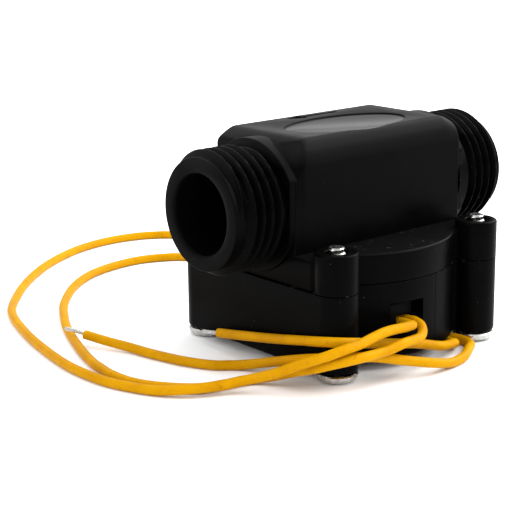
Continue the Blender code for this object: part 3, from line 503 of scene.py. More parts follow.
def board_laminate(name):
    """Green solder mask with a faint glass weave."""
    made, tree, shader = new_material(name)
    place = tree.nodes.new("ShaderNodeTexCoord")
    weave = tree.nodes.new("ShaderNodeTexWave")
    weave.inputs["Scale"].default_value = 900.0
    weave.inputs["Distortion"].default_value = 1.5
    tree.links.new(place.outputs["Object"], weave.inputs["Vector"])
    height = weave.outputs["Fac"]
    stops = [(0.0, (0.008, 0.07, 0.022)), (1.0, (0.014, 0.11, 0.04))]
    tree.links.new(colour_ramp(tree, height, stops), shader.inputs["Base Color"])
    shader.inputs["Roughness"].default_value = 0.35
    add_bump(tree, shader, [(height, 0.2, 0.00003)])
    return made


def tinted_glass(name):
    made, tree, shader = new_material(name)
    stops = [(0.3, (0.3, 0.55, 0.36)), (0.7, (0.42, 0.66, 0.45))]
    tint = colour_ramp(tree, noise(tree, 900.0, 2.0), stops)
    tree.links.new(tint, shader.inputs["Base Color"])
    shader.inputs["Roughness"].default_value = 0.06
    shader.inputs["Transmission Weight"].default_value = 0.7
    shader.inputs["IOR"].default_value = 1.5
    return made


def floor_surface(name):
    made, tree, shader = new_material(name)
    stops = [(0.3, (0.93, 0.93, 0.93)), (0.7, (0.95, 0.95, 0.95))]
    tint = colour_ramp(tree, noise(tree, 12.0, 3.0), stops)
    tree.links.new(tint, shader.inputs["Base Color"])
    shader.inputs["Roughness"].default_value = 0.8
    shader.inputs["Specular IOR Level"].default_value = 0.1
    return made


# Meshes. A ring is a list of points; a loft is a skin through rings.

def shade(mesh, sharp_angle=SHARP_ANGLE):
    """Smooth shading, with a sharp edge where two faces meet at more than the angle."""
    mesh.shade_smooth()
    mesh.set_sharp_from_angle(angle=sharp_angle)


def mesh_object(name, bm, materials):
    """An object from a bmesh, with doubled points merged and the faces turned outwards."""
    bmesh.ops.remove_doubles(bm, verts=bm.verts, dist=MERGE_DISTANCE)
    bmesh.ops.recalc_face_normals(bm, faces=bm.faces)
    mesh = bpy.data.meshes.new(name)
    bm.to_mesh(mesh)
    bm.free()
    for finish in materials:
        mesh.materials.append(finish)
    shade(mesh)
    return add_object(name, mesh)


def merged(name, parts):
    """One object from several, each closed by itself, with the first one's materials."""
    bm = bmesh.new()
    for part in parts:
        bm.from_mesh(part.data)
    mesh = bpy.data.meshes.new(name)
    bm.to_mesh(mesh)
    bm.free()
    for finish in parts[0].data.materials:
        mesh.materials.append(finish)
    for part in parts:
        bpy.data.objects.remove(part)
    return add_object(name, mesh)


def apply_modifiers(target, sharp_angle=SHARP_ANGLE):
    """Turn the object's modifiers into its mesh for good."""
    graph = bpy.context.evaluated_depsgraph_get()
    mesh = bpy.data.meshes.new_from_object(target.evaluated_get(graph))
    target.modifiers.clear()
    target.data = mesh
    shade(mesh, sharp_angle)


def cut(target, tool):
    """Cut the tool out of the target, and remove the tool."""
    modifier = target.modifiers.new("cut", "BOOLEAN")
    modifier.operation = "DIFFERENCE"
    modifier.solver = "EXACT"
    modifier.object = tool
    apply_modifiers(target)
    bpy.data.objects.remove(tool)


def round_edges(target, width):
    """Round every sharp edge of a simple solid."""
    modifier = target.modifiers.new("round", "BEVEL")
    modifier.width = width
    modifier.segments = 3
    modifier.limit_method = "ANGLE"
    modifier.angle_limit = BEVEL_ANGLE
    apply_modifiers(target, BEVELLED_SHARP_ANGLE)


def loft(name, rings, materials=(), closed=False):
    """A skin through the rings, capped at both ends, or closed from the last to the first."""
    if closed:
        rings = rings + rings[:1]
    bm = bmesh.new()
    made = [[bm.verts.new(point) for point in ring] for ring in rings]
    for first, second in zip(made, made[1:]):
        count = len(first)
        for i in range(count):
            j = (i + 1) % count
            bm.faces.new((first[i], first[j], second[j], second[i]))
    if not closed:
        bm.faces.new(list(reversed(made[0])))
        bm.faces.new(made[-1])
    return mesh_object(name, bm, materials)


def circle(radius, sides, centre=(0.0, 0.0)):
    angles = [2.0 * math.pi * i / sides for i in range(sides)]
    return [(centre[0] + radius * math.cos(a), centre[1] + radius * math.sin(a)) for a in angles]


def turned(name, profile, sides, centre=(0.0, 0.0), materials=(), closed=False):
    """Turn (radius, z) pairs about a vertical axis: a solid, or a ring from a closed outline."""
    rings = [[(x, y, z) for x, y in circle(r, sides, centre)] for r, z in profile]
    return loft(name, rings, materials, closed)


def box(name, x0, x1, y0, y1, z0, z1):
    return loft(name, [[(x0, y0, z), (x1, y0, z), (x1, y1, z), (x0, y1, z)] for z in (z0, z1)])


def bore(target, radius, bottom, top, sides, centre=(0.0, 0.0)):
    """Cut a plain round hole about a vertical axis."""
    cut(target, turned("bore", [(radius, bottom), (radius, top)], sides, centre))


def bore_screw_holes(target, bottom, top):
    for place in BOSS_PLACES:
        bore(target, SCREW_RADIUS + GAP, bottom - OVERLAP, top + OVERLAP, HOLE_SIDES, place)


def quarter_round(radius, steps):
    """Pairs of (inset, drop) from the wall to the flat face, along a quarter round."""
    angles = [math.pi / 2.0 * i / steps for i in range(steps + 1)]
    return [(radius * (1.0 - math.cos(a)), radius * (1.0 - math.sin(a))) for a in angles]


def wall_profile(bottom, bottom_round, bottom_steps, top, top_round, top_steps):
    """Pairs of (inset, z) up a wall whose lower and upper edges are rounded."""
    low = [(inset, bottom + drop) for inset, drop in quarter_round(bottom_round, bottom_steps)]
    high = [(inset, top - drop) for inset, drop in quarter_round(top_round, top_steps)]
    return low[::-1] + high


def drum_outline(inset, flush):
    """The drum's shape from above; with flush its flat walls run on into the bosses."""
    radius = DRUM_RADIUS - inset
    flat_x = (BOSS_X + LOWER_BOSS_RADIUS if flush else DRUM_FLAT_X) - inset
    flat_end_y = BOSS_Y - inset if flush else DRUM_FLAT_END_Y
    half = math.atan2(BOSS_X - BOSS_RADIUS, BOSS_Y)
    steps = DRUM_ARC_STEPS
    angles = [math.pi / 2.0 - half + 2.0 * half * i / steps for i in range(steps + 1)]
    far = [(radius * math.cos(a), radius * math.sin(a)) for a in angles]
    left = [(-BOSS_X, BOSS_Y - inset), (-flat_x, flat_end_y)]
    far_half = [(flat_x, flat_end_y), (BOSS_X, BOSS_Y - inset)] + far + left
    return far_half + [(-x, -y) for x, y in far_half]


def make_drum(profile, flush, materials):
    rings = [[(x, y, z) for x, y in drum_outline(inset, flush)] for inset, z in profile]
    return loft("drum", rings, materials)


def make_bosses(bottom, top, radius, bottom_round, top_round, materials):
    """The four bosses, each with the screw's hole and a soft rim round its top."""
    hole = SCREW_RADIUS + GAP
    wall = wall_profile(bottom, bottom_round, 5, top, top_round, 6)
    profile = [(hole, bottom)] + [(radius - inset, z) for inset, z in wall]
    profile += [(hole + grow, top - drop) for grow, drop in HOLE_RIM]
    return [
        turned("boss", profile, BOSS_SIDES, place, materials, closed=True)
        for place in BOSS_PLACES
    ]


# The block on top

def block_section(x, half_width, top, blend):
    """A section across the block; with blend its near corner follows the collar's circle."""
    bottom = CHAMBER_ROOF_Z + OVERLAP
    points = [(-half_width, bottom), (half_width, bottom)]
    circle_radius = COLLAR_RADIUS - BLOCK_BLEND_INSET
    circle_start = math.pi - math.asin(min(1.0, (top - PIPE_AXIS_Z) / circle_radius))
    circle_end = math.pi - math.acos(half_width / circle_radius)
    for side, reach, drop, start, steps in (
        (1.0, BLOCK_FAR_ROUND, BLOCK_FAR_ROUND, 0.0, 8),
        (-1.0, BLOCK_NEAR_ROUND, BLOCK_NEAR_DROP, math.pi / 2.0, 18),
    ):
        for i in range(steps + 1):
            angle = start + math.pi / 2.0 * i / steps
            y = side * (half_width - reach) + reach * math.cos(angle)
            z = top - drop + drop * math.sin(angle)
            if side < 0.0:
                turn = circle_start + (circle_end - circle_start) * i / steps
                y += blend * (circle_radius * math.cos(turn) - y)
                z += blend * (PIPE_AXIS_Z + circle_radius * math.sin(turn) - z)
            points.append((y, z))
    return [(x, y, z) for y, z in points]


def corner_inset(distance):
    """How far the wall draws in at this distance from the block's end."""
    if distance >= BLOCK_CORNER_ROUND:
        return 0.0
    share = 1.0 - distance / BLOCK_CORNER_ROUND
    return BLOCK_CORNER_ROUND * (1.0 - math.sqrt(1.0 - share * share))


def end_drop(distance):
    """How far the top lies below its full height at this distance from the block's end."""
    for (near, near_drop), (far, far_drop) in zip(BLOCK_END_PROFILE, BLOCK_END_PROFILE[1:]):
        if distance <= far:
            return near_drop + (far_drop - near_drop) * (distance - near) / (far - near)
    return 0.0


def make_block(materials):
    """The block with its tunnel, ports, oval and arrow, and the oval's floor polished."""
    half = BLOCK_LENGTH / 2.0
    reach = BLOCK_END_PROFILE[-1][0]
    shares = [(i / BLOCK_END_STEPS) ** BLOCK_END_CROWDING for i in range(BLOCK_END_STEPS, -1, -1)]
    rings = []
    for side in (-1.0, 1.0):
        stations = []
        for share in shares:
            distance = reach * share
            top = BLOCK_TOP_Z - end_drop(distance)
            half_width = BLOCK_WIDTH / 2.0 - corner_inset(distance)
            blend = eased(unit(1.0 - (distance - BLOCK_BLEND_START) / BLOCK_BLEND_LENGTH))
            if side > 0.0:
                blend = 0.0
            stations.append(block_section(side * (half - distance), half_width, top, blend))
        rings += stations[::-1] if side < 0.0 else stations
    body = loft("block", rings, materials)
    tunnel = circle(TUNNEL_RADIUS, TUNNEL_SIDES, (0.0, PIPE_AXIS_Z))
    tunnel_end = half + 2.0 * OVERLAP
    cut(body, loft("tunnel", [[(x, y, z) for y, z in tunnel] for x in (-tunnel_end, tunnel_end)]))
    for side in (-1.0, 1.0):
        cut(body, port_cutter(side, PIPE_AXIS_Z))
    cut(body, oval_cutter())
    cut(body, arrow_cutter())
    for face in body.data.polygons:
        if abs(face.center.z - OVAL_FLOOR_Z) < FLAT_TOLERANCE and face.normal.z > 0.99:
            face.material_index = 1
    return body


def oval_cutter():
    """The oval, with a soft edge round its floor and a soft rim at the top."""
    stations = [(OVAL_FLOOR_Z + lift, grow) for lift, grow in OVAL_FLOOR_EDGE]
    stations += [(BLOCK_TOP_Z + lift, grow) for lift, grow in OVAL_RIM]
    rings = []
    for z, grow in stations:
        half_length = OVAL_HALF_LENGTH + grow
        half_width = OVAL_HALF_WIDTH + grow
        rings.append([
            (OVAL_CENTRE_X + half_length * x, OVAL_CENTRE_Y + half_width * y, z)
            for x, y in circle(1.0, OVAL_SIDES)
        ])
    return loft("oval", rings)


def arrow_cutter():
    head_x = ARROW_TIP_X + ARROW_HEAD_LENGTH
    head_half = ARROW_HEAD_WIDTH / 2.0
    half = ARROW_SHAFT_WIDTH / 2.0
    outline = [
        (ARROW_TIP_X, ARROW_Y), (head_x, ARROW_Y - head_half), (head_x, ARROW_Y - half),
        (ARROW_END_X, ARROW_Y - half), (ARROW_END_X, ARROW_Y + half), (head_x, ARROW_Y + half),
        (head_x, ARROW_Y + head_half),
    ]
    heights = (BLOCK_TOP_Z - ARROW_DEPTH, BLOCK_TOP_Z + OVERLAP)
    return loft("arrow", [[(x, y, z) for x, y in outline] for z in heights])


def port_cutter(side, top):
    """The square port between one bore and the chamber."""
    x0 = side * PORT_CENTRE_X - PORT_LENGTH / 2.0
    y0 = PORT_CENTRE_Y - PORT_WIDTH / 2.0
    bottom = CHAMBER_ROOF_Z - OVERLAP
    return box("port", x0, x0 + PORT_LENGTH, y0, y0 + PORT_WIDTH, bottom, top)


# The pipe's two ends

def ridge_height(x_from_end, angle, turns):
    """Height of the helical ridge over the thread's root, by the distance from the pipe's face."""
    turn_share = (angle / (2.0 * math.pi)) % 1.0
    phase = (x_from_end - THREAD_FIRST_CREST) / THREAD_PITCH - turn_share
    nearest = round(phase)
    turn = nearest + turn_share
    if turn < 0.0 or turn > turns:
        return 0.0
    away = abs(phase - nearest) * THREAD_PITCH
    share = unit((THREAD_HALF_ROOT - away) / (THREAD_HALF_ROOT - THREAD_HALF_CREST))
    share = THREAD_STRAIGHT_SHARE * share + THREAD_CURVED_SHARE * eased(share)
    fade = unit(min(turn, turns - turn) / THREAD_FADE_TURNS)
    return (THREAD_MAJOR_RADIUS - THREAD_MINOR_RADIUS) * share * fade


def shoulder_radius(x, angle):
    """The full-width shoulder that the last groove leaves on one side of the pipe's neck."""
    edge_x = BLOCK_LENGTH / 2.0 + SHOULDER_REACH
    away = abs(angle - math.pi)
    share = unit((SHOULDER_HALF_ANGLE - away) / SHOULDER_FADE_ANGLE + 1.0)
    slope = unit((edge_x - x) / SHOULDER_SLOPE + 1.0)
    return NECK_RADIUS + (SHOULDER_RADIUS - NECK_RADIUS) * share * slope


def make_collar(side, materials):
    """A wide collar out of one end of the block, cut flat beside the block's two walls."""
    start_x = BLOCK_LENGTH / 2.0 - COLLAR_SINK
    end_x = BLOCK_LENGTH / 2.0 + COLLAR_RIM_REACH
    edge = quarter_round(COLLAR_EDGE_ROUND, 4)
    stations = [(start_x, COLLAR_RADIUS)]
    stations += [(end_x - drop, COLLAR_RADIUS - inset) for inset, drop in edge]
    stations += [(end_x, TUNNEL_RADIUS), (start_x, TUNNEL_RADIUS)]
    rings = []
    for x, radius in stations:
        limit = COLLAR_HALF_WIDTH - (COLLAR_RADIUS - radius)
        if radius == TUNNEL_RADIUS:
            limit = radius
        ring = []
        for i in range(PIPE_SIDES):
            angle = 2.0 * math.pi * (i + 0.5) / PIPE_SIDES
            y = radius * math.cos(angle)
            z = PIPE_AXIS_Z + radius * math.sin(angle)
            ring.append((side * x, side * max(-limit, min(limit, y)), z))
        rings.append(ring)
    return loft("collar", rings, materials, closed=True)


def make_pipe_end(side, materials):
    """One pipe end as a single closed skin: baffle, bore, face, thread and neck."""
    end = PIPE_LENGTH / 2.0
    neck_end = BLOCK_LENGTH / 2.0
    baffle_face = BAFFLE_THICKNESS / 2.0
    thread_length = end - THREAD_FIRST_CREST - (neck_end + COLLAR_REACH) - NECK_LENGTH
    turns = thread_length / THREAD_PITCH
    root_x = end - THREAD_FIRST_CREST - thread_length
    # Each station is (x, radius, whether the thread is laid on it)
    stations = [(baffle_face, PIPE_BORE_RADIUS, False)]
    stations += [(end - BORE_LEAD_IN - back, PIPE_BORE_RADIUS, False) for back in BORE_RINGS]
    for back, widening in BORE_LEAD_IN_CURVE:
        radius = PIPE_BORE_RADIUS + BORE_LEAD_IN * widening
        stations.append((end - BORE_LEAD_IN * back, radius, False))
    stations.append((end, TUNNEL_RADIUS, False))
    for inset, drop in reversed(quarter_round(THREAD_FACE_ROUND, 5)):
        stations.append((end - drop, THREAD_MINOR_RADIUS - inset, False))
    x = end - THREAD_FACE_ROUND - THREAD_STEP
    while x > neck_end:
        stations.append((x, THREAD_MINOR_RADIUS if x > root_x else NECK_RADIUS, True))
        x -= THREAD_STEP
    stations.append((neck_end - THREAD_STEP, NECK_RADIUS, False))
    stations.append((baffle_face - BAFFLE_LAP, NECK_RADIUS, False))
    rings = []
    for x, radius, threaded in stations:
        ring = []
        for i in range(PIPE_SIDES):
            angle = 2.0 * math.pi * i / PIPE_SIDES
            r = radius
            if threaded:
                r = max(r + ridge_height(end - x, angle, turns), shoulder_radius(x, angle))
            ring.append((side * x, side * r * math.cos(angle), PIPE_AXIS_Z + r * math.sin(angle)))
        rings.append(ring)
    made = loft("pipe_end", rings, materials)
    cut(made, port_cutter(side, PIPE_AXIS_Z))
    return made


def make_upper_body(materials):
    bottom = SEAM_Z + SEAM_GAP / 2.0
    wall = wall_profile(bottom, SEAM_EDGE_ROUND, 3, FLANGE_TOP_Z, FLANGE_EDGE_ROUND, 8)
    flange = make_drum(wall, False, materials)
    bore(flange, CHAMBER_RADIUS, bottom - OVERLAP, CHAMBER_ROOF_Z, CHAMBER_SIDES)
    seat_top = CHAMBER_ROOF_Z + GAP + BEARING_LENGTH + GAP
    bore(flange, BEARING_RADIUS + GAP, CHAMBER_ROOF_Z - OVERLAP, seat_top, HOLE_SIDES)
    bore_screw_holes(flange, bottom, BOSS_TOP_Z)
    for side in (-1.0, 1.0):
        cut(flange, port_cutter(side, FLANGE_TOP_Z + 2.0 * OVERLAP))
    parts = [make_block(materials), flange]
    parts += make_bosses(
        bottom, BOSS_TOP_Z, BOSS_RADIUS, SEAM_EDGE_ROUND, BOSS_EDGE_ROUND, materials
    )
    for side in (-1.0, 1.0):
        parts += [make_pipe_end(side, materials), make_collar(side, materials)]
    return merged("upper_body_surface", parts)


# The lower housing, its clamp and cover, and the screws

def make_lower_housing(materials):
    top = SEAM_Z - SEAM_GAP / 2.0
    wall = wall_profile(HOUSING_BOTTOM_Z, HOUSING_EDGE_ROUND, 6, top, SEAM_EDGE_ROUND, 3)
    body = make_drum(wall, True, materials)
    bore(body, CHAMBER_RADIUS, WET_FLOOR_Z, top + OVERLAP, CHAMBER_SIDES)
    dry_roof = WET_FLOOR_Z - PARTITION_THICKNESS
    cover_roof = HOUSING_BOTTOM_Z + COVER_THICKNESS + GAP
    dry = [
        (COVER_SEAT_RADIUS, HOUSING_BOTTOM_Z - OVERLAP), (COVER_SEAT_RADIUS, cover_roof),
        (DRY_RADIUS, cover_roof), (DRY_RADIUS, dry_roof),
    ]
    cut(body, turned("dry", dry, CHAMBER_SIDES))
    groove_half = SEAL_CORD_RADIUS + GAP
    groove_floor = top - 2.0 * SEAL_CORD_RADIUS
    groove = [
        (SEAL_RADIUS - groove_half, groove_floor), (SEAL_RADIUS + groove_half, groove_floor),
        (SEAL_RADIUS + groove_half, top + OVERLAP), (SEAL_RADIUS - groove_half, top + OVERLAP),
    ]
    cut(body, turned("groove", groove, CHAMBER_SIDES, closed=True))
    seat_bottom = WET_FLOOR_Z - GAP - BEARING_LENGTH - GAP
    seat_radius = BEARING_RADIUS + GAP
    bore(body, seat_radius, seat_bottom, WET_FLOOR_Z + OVERLAP, HOLE_SIDES)
    bore_screw_holes(body, HOUSING_BOTTOM_Z, top)
    sill = WIRE_EXIT_Z - WIRE_RADIUS - GAP
    front_y = -DRUM_RADIUS - OVERLAP
    inner_y = -DRY_RADIUS + CLAMP_LIP + OVERLAP
    cut(body, box("window", WINDOW_LEFT_X, WINDOW_RIGHT_X, front_y, inner_y, sill, WINDOW_TOP_Z))
    line_y = -math.sqrt(DRUM_RADIUS**2 - MOULD_LINE_X**2) + MOULD_LINE_DEPTH
    line_right = MOULD_LINE_X + MOULD_LINE_WIDTH
    cut(body, box("line", MOULD_LINE_X, line_right, front_y, line_y, 0.0, top + OVERLAP))
    cup_radius = seat_radius + BEARING_WALL
    cup_bottom = seat_bottom - BEARING_WALL
    cup_wall = [
        (seat_radius, seat_bottom), (cup_radius, cup_bottom),
        (cup_radius, dry_roof + JOIN_LAP), (seat_radius, dry_roof + JOIN_LAP),
    ]
    cup_floor = [(cup_radius, cup_bottom), (cup_radius, seat_bottom)]
    centre = (0.0, 0.0)
    parts = [
        body,
        turned("cup_wall", cup_wall, CUP_SIDES, centre, materials, closed=True),
        turned("cup_floor", cup_floor, CUP_SIDES, centre, materials),
    ]
    parts += make_bosses(
        HOUSING_BOTTOM_Z, top, LOWER_BOSS_RADIUS, BOSS_EDGE_ROUND, SEAM_EDGE_ROUND, materials
    )
    return merged("lower_housing_surface", parts)


def make_wire_clamp(materials):
    """The insert that fills the window over the two wires, with a leg beside them."""
    front_y = -math.sqrt(DRUM_RADIUS**2 - WINDOW_LEFT_X**2) + CLAMP_RECESS
    back_y = -DRY_RADIUS + CLAMP_LIP
    left = WINDOW_LEFT_X + GAP
    over_wires = WIRE_EXIT_Z + WIRE_RADIUS + GAP
    top = WINDOW_TOP_Z - GAP
    leg_right = WIRE_A_X - WIRE_RADIUS - GAP
    bottom = WIRE_EXIT_Z - WIRE_RADIUS
    outline = [
        (left, bottom), (leg_right, bottom), (leg_right, over_wires), (CLAMP_RIGHT_X, over_wires),
        (CLAMP_RIGHT_X, top), (left, top),
    ]
    rings = [[(x, y, z) for x, z in outline] for y in (front_y, back_y)]
    body = loft("wire_clamp_surface", rings, materials)
    round_edges(body, CLAMP_EDGE_ROUND)
    return body


def make_bottom_cover(materials):
    """The lid of the dry pocket, with the four posts under the circuit board."""
    radius = COVER_SEAT_RADIUS - GAP
    top = HOUSING_BOTTOM_Z + COVER_THICKNESS
    edge = reversed(quarter_round(COVER_EDGE_ROUND, 5))
    profile = [(radius - inset, HOUSING_BOTTOM_Z + drop) for inset, drop in edge]
    profile.append((radius, top))
    parts = [turned("disc", profile, COVER_SIDES, (0.0, 0.0), materials)]
    post = [(POST_RADIUS, top - JOIN_LAP), (POST_RADIUS, BOARD_Z - GAP)]
    post_x = BOARD_LENGTH / 2.0 - POST_INSET
    post_y = BOARD_WIDTH / 2.0 - POST_INSET
    for x in (-post_x, post_x):
        for y in (BOARD_CENTRE_Y - post_y, BOARD_CENTRE_Y + post_y):
            parts.append(turned("post", post, POST_SIDES, (x, y), materials))
    return merged("bottom_cover_surface", parts)


def screw_limit(z):
    """The widest that the screw is at this height, drawing in at the tip."""
    if z <= SCREW_TIP_Z - SCREW_TIP_TAPER:
        return SCREW_RADIUS
    share = (z - SCREW_TIP_Z + SCREW_TIP_TAPER) / SCREW_TIP_TAPER
    return SCREW_RADIUS + (SCREW_TIP_RADIUS - SCREW_RADIUS) * share


def make_screw(name, place, finish):
    """A pan head screw with a cross recess below and a rolled thread up to its tip."""
    reach = SCREW_HEAD_RADIUS - SCREW_HEAD_FLAT_RADIUS
    crown = SCREW_HEAD_HEIGHT - SCREW_HEAD_RIM
    profile = [(SCREW_HEAD_FLAT_RADIUS / 2.0, 0.0), (SCREW_HEAD_FLAT_RADIUS, SCREW_HEAD_DISH)]
    for i in range(1, SCREW_HEAD_STEPS + 1):
        angle = math.pi / 2.0 * i / SCREW_HEAD_STEPS
        profile.append((
            SCREW_HEAD_FLAT_RADIUS + reach * math.sin(angle),
            SCREW_HEAD_DISH + crown * (1.0 - math.cos(angle)),
        ))
    profile += [
        (SCREW_HEAD_RADIUS, SCREW_HEAD_HEIGHT - SCREW_HEAD_CHAMFER),
        (SCREW_HEAD_RADIUS - SCREW_HEAD_CHAMFER, SCREW_HEAD_HEIGHT),
        (SCREW_RADIUS, SCREW_HEAD_HEIGHT),
        (SCREW_RADIUS, SCREW_THREAD_START_Z),
    ]
    rings = [[(x, y, z) for x, y in circle(r, SCREW_SIDES, place)] for r, z in profile]
    depth = SCREW_RADIUS - SCREW_CORE_RADIUS
    z = SCREW_THREAD_START_Z + SCREW_STEP
    while z < SCREW_TIP_Z - SCREW_TIP_MARGIN:
        ring = []
        for i in range(SCREW_SIDES):
            angle = 2.0 * math.pi * i / SCREW_SIDES
            phase = (z / SCREW_PITCH - i / SCREW_SIDES) % 1.0
            crest = max(0.0, 1.0 - abs(phase - 0.5) / SCREW_HALF_RIDGE)
            r = min(screw_limit(z), SCREW_CORE_RADIUS + depth * crest)
            ring.append((place[0] + r * math.cos(angle), place[1] + r * math.sin(angle), z))
        rings.append(ring)
        z += SCREW_STEP
    for share, drop in SCREW_TIP_ROUND:
        radius = SCREW_TIP_RADIUS * share
        rings.append([(x, y, SCREW_TIP_Z - drop) for x, y in circle(radius, SCREW_SIDES, place)])
    body = loft(name, rings, [finish])
    cut(body, recess_cutter(place))
    return body


def recess_cutter(place):
    """A cross recess whose arms get shorter, and a little thinner, as it goes in."""
    rings = []
    half_way = SCREW_RECESS_DEPTH * 0.6
    for z, size in ((-OVERLAP, 1.0), (0.0, 1.0), (half_way, 0.78), (SCREW_RECESS_DEPTH, 0.42)):
        length = SCREW_RECESS_LENGTH / 2.0 * size
        width = SCREW_RECESS_WIDTH / 2.0 * (0.7 + 0.3 * size)
        arm = [(length, -width), (length, width), (width, width)]
        cross = []
        for _ in range(4):
            cross += arm
            arm = [(-y, x) for x, y in arm]
        rings.append([(place[0] + x, place[1] + y, z) for x, y in cross])
    return loft("recess", rings)


# The wires

def smooth_path(points, spacing):
    """Evenly close points on a Catmull-Rom curve through the route's own points."""
    route = [Vector(p) for p in points]
    route = [2.0 * route[0] - route[1]] + route + [2.0 * route[-1] - route[-2]]
    result = []
    for before, start, end, after in zip(route, route[1:], route[2:], route[3:]):
        steps = max(1, math.ceil((end - start).length / spacing))
        for step in range(steps):
            t = step / steps
            first = 2.0 * start + (end - before) * t
            second = (2.0 * before - 5.0 * start + 4.0 * end - after) * t * t
            third = (3.0 * start - before - 3.0 * end + after) * t * t * t
            result.append((first + second + third) / 2.0)
    result.append(route[-2])
    return result


def tube(name, paths, radius, finish, resolution):
    """Round wires along their points, as one curve object with filled ends."""
    curve = bpy.data.curves.new(name, "CURVE")
    curve.dimensions = "3D"
    curve.bevel_depth = radius
    curve.bevel_resolution = resolution
    curve.use_fill_caps = True
    curve.materials.append(finish)
    for points in paths:
        spline = curve.splines.new("POLY")
        spline.points.add(len(points) - 1)
        for slot, point in zip(spline.points, points):
            slot.co = (*point, 1.0)
        spline.use_smooth = True
    return add_object(name, curve)


def path_length(points):
    return sum((b - a).length for a, b in zip(points, points[1:]))


def make_wire(letter, wire_x, route, finish):
    """A wire's insulation and its length, from inside the window along its route."""
    start = [(wire_x, WIRE_START_Y, WIRE_EXIT_Z), (wire_x, -DRUM_RADIUS, WIRE_EXIT_Z)]
    laid = [point if len(point) == 3 else (*point, WIRE_RADIUS) for point in route]
    path = smooth_path(start + laid, WIRE_SPACING)
    points = [Vector((p.x, p.y, max(p.z, WIRE_RADIUS))) for p in path]
    made = tube(f"wire_{letter}_insulation", [points], WIRE_RADIUS, finish, resolution=6)
    return made, path_length(points)


def make_strands(letter, route, finish):
    """Six strands laid round a seventh, opening a little towards the cut end."""
    points = smooth_path(route, STRAND_SPACING)
    total = path_length(points)
    side = Vector((0.0, 0.0, 1.0))
    paths = [[] for _ in STRAND_TRIM]
    travelled = 0.0
    for i, point in enumerate(points):
        ahead = points[min(i + 1, len(points) - 1)] - points[max(i - 1, 0)]
        ahead.normalize()
        side = (side - ahead * side.dot(ahead)).normalized()
        other = ahead.cross(side)
        if i:
            travelled += (point - points[i - 1]).length
        share = travelled / total
        spread = (CONDUCTOR_RADIUS - STRAND_RADIUS) * (1.0 + STRAND_FLARE * share**3)
        paths[6].append(point.copy())
        for k in range(6):
            angle = math.pi / 3.0 * k + 2.0 * math.pi * travelled / STRAND_LAY
            wander = 1.0 + STRAND_WANDER * share * math.sin(2.3 * k + 5.0 * share)
            offset = side * math.cos(angle) + other * math.sin(angle)
            paths[k].append(point + offset * spread * wander)
    trimmed = [path[:len(path) - trim] for path, trim in zip(paths, STRAND_TRIM)]
    return tube(f"conductor_{letter}_strands", trimmed, STRAND_RADIUS, finish, resolution=3)


def dress(obj, slot, *nodes):
    """Hand a visible piece over: the body that it rides and the nodes it replaces, which are
    hidden. The slot is not used.
    """
    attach(obj, "housing")
    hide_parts(*nodes)


# The finishes

black = scuffed_plastic("black_moulded", *NEAR_BLACK, 0.3, 0.4, ior=1.078)
lower_black = scuffed_plastic("black_lower", *NEAR_BLACK, 0.34, 0.44, ior=1.085)
# Painted light on the black plastic's upper parts: block top, near round, collar and thread tops.
paint_light_high(black)
rubbed_band(black, FLANGE_TOP_Z - 0.0001, 0.00034, tone=0.055, threshold=0.64, facing_up=True)
for finish in (black, lower_black):
    rubbed_band(finish, SEAM_Z, 0.0002, tone=0.0, threshold=0.6)
polished = moulded_plastic(
    "black_polished", (0.002, 0.002, 0.0021), (0.003, 0.003, 0.0031), 0.2, 0.24,
    ior=1.17, grain=0.1, wave=0.08,
)
clamp_grey = moulded_plastic(
    "clamp_plastic", (0.0012, 0.0012, 0.0013), (0.002, 0.002, 0.0021), 0.45, 0.6, ior=1.09
)
cover_black = moulded_plastic(
    "cover_plastic", (0.002, 0.002, 0.002), (0.0035, 0.0035, 0.0035), 0.4, 0.55, ior=1.25
)
rubber = moulded_plastic("seal_rubber", (0.01, 0.01, 0.01), (0.016, 0.016, 0.016), 0.6, 0.75)
white_plastic = moulded_plastic(
    "impeller_plastic", (0.66, 0.66, 0.63), (0.76, 0.76, 0.73), 0.35, 0.5
)
bearing_plastic = moulded_plastic(
    "bearing_plastic", (0.48, 0.45, 0.38), (0.6, 0.57, 0.5), 0.4, 0.55
)
washer_plastic = moulded_plastic(
    "washer_plastic", (0.72, 0.72, 0.7), (0.82, 0.82, 0.8), 0.35, 0.45
)
ferrite = moulded_plastic("ferrite", (0.03, 0.028, 0.027), (0.07, 0.066, 0.062), 0.45, 0.65)
plated = metal("plated_steel", (0.34, 0.335, 0.32), (0.6, 0.59, 0.57), 0.16, 0.34)
stainless = metal(
    "stainless_steel", (0.5, 0.5, 0.5), (0.66, 0.66, 0.67), 0.18, 0.3, stretch=(1.0, 1.0, 0.05)
)
tinned = metal("tinned_copper", (0.46, 0.46, 0.45), (0.6, 0.6, 0.59), 0.2, 0.3, bump=0.08)
yellow = insulation("yellow_insulation")

# The pieces

dress(make_upper_body([black, polished]), "black_plastic", "upper_body")
dress(make_lower_housing([lower_black]), "black_plastic", "lower_housing")
dress(make_wire_clamp([clamp_grey]), "grey_plastic", "wire_clamp")
dress(make_bottom_cover([cover_black]), "cover_plastic", "bottom_cover")
for number, place in enumerate(BOSS_PLACES, 1):
    dress(make_screw(f"screw_{number}_surface", place, plated), "plated_steel", f"screw_{number}")

for letter, wire_x, route, bare in (
    ("a", WIRE_A_X, WIRE_A_ROUTE, CONDUCTOR_A_ROUTE),
    ("b", WIRE_B_X, WIRE_B_ROUTE, CONDUCTOR_B_ROUTE),
):
    wire, length = make_wire(letter, wire_x, route, yellow)
    strands = make_strands(letter, bare, tinned)
    dress(wire, "yellow_insulation", f"wire_{letter}")
    dress(strands, "tinned_wire", f"conductor_{letter}")

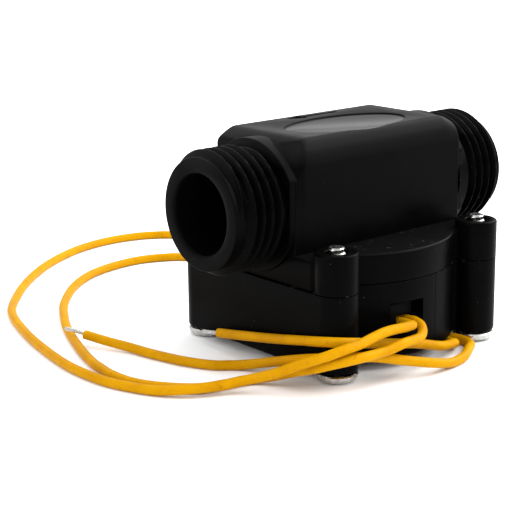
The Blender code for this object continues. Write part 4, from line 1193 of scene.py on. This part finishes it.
# The pieces that keep the frame's own solids
kept = {
    "seal_ring": rubber,
    "impeller": white_plastic,
    "magnet_ring": ferrite,
    "axle": stainless,
    "lower_bearing": bearing_plastic,
    "upper_bearing": bearing_plastic,
    "thrust_washer": washer_plastic,
    "circuit_board": board_laminate("circuit_board_green"),
    "reed_switch": tinted_glass("reed_glass"),
    "reed_lead_left": tinned,
    "reed_lead_right": tinned,
    "board_lead_a": yellow,
    "board_lead_b": yellow,
}
for node, finish in kept.items():
    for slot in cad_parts[node].material_slots:
        slot.material = finish

# Floor, light and camera

bm = bmesh.new()
bmesh.ops.create_grid(bm, x_segments=1, y_segments=1, size=FLOOR_HALF_SIDE)
floor = mesh_object("floor", bm, [floor_surface("floor_surface")])
floor.location = (0.0, 0.0, -FLOOR_DROP)

for name, place, width, height, power in SOFTBOXES:
    light = bpy.data.lights.new(name, "AREA")
    light.shape = "RECTANGLE"
    light.size = width
    light.size_y = height
    light.energy = power
    lamp = add_object(name, light)
    lamp.location = place
    lamp.rotation_euler = (LIGHT_TARGET - Vector(place)).to_track_quat("-Z", "Y").to_euler()

world = bpy.data.worlds.new("studio")
bpy.context.scene.world = world
world.use_nodes = True
background = world.node_tree.nodes["Background"]
background.inputs["Color"].default_value = (1.0, 1.0, 1.0, 1.0)
background.inputs["Strength"].default_value = 1.1

camera_data = bpy.data.cameras.new("camera")
camera_data.sensor_width = 36.0
camera_data.lens = 101.327
camera_data.clip_start = 0.01
camera_data.clip_end = 20.0
camera = add_object("camera", camera_data)
back = Vector((
    math.sin(CAMERA_AZIMUTH) * math.cos(CAMERA_ELEVATION),
    -math.cos(CAMERA_AZIMUTH) * math.cos(CAMERA_ELEVATION),
    math.sin(CAMERA_ELEVATION),
))
right = Vector((math.cos(CAMERA_AZIMUTH), math.sin(CAMERA_AZIMUTH), 0.0))
up = back.cross(right)
rolled_right = right * math.cos(CAMERA_ROLL) + up * math.sin(CAMERA_ROLL)
rolled_up = up * math.cos(CAMERA_ROLL) - right * math.sin(CAMERA_ROLL)
place = CAMERA_TARGET + back * CAMERA_DISTANCE
camera.matrix_world = Matrix((
    (rolled_right.x, rolled_up.x, back.x, place.x),
    (rolled_right.y, rolled_up.y, back.y, place.y),
    (rolled_right.z, rolled_up.z, back.z, place.z),
    (0.0, 0.0, 0.0, 1.0),
))
bpy.context.scene.camera = camera
bpy.context.scene.view_settings.view_transform = "Standard"
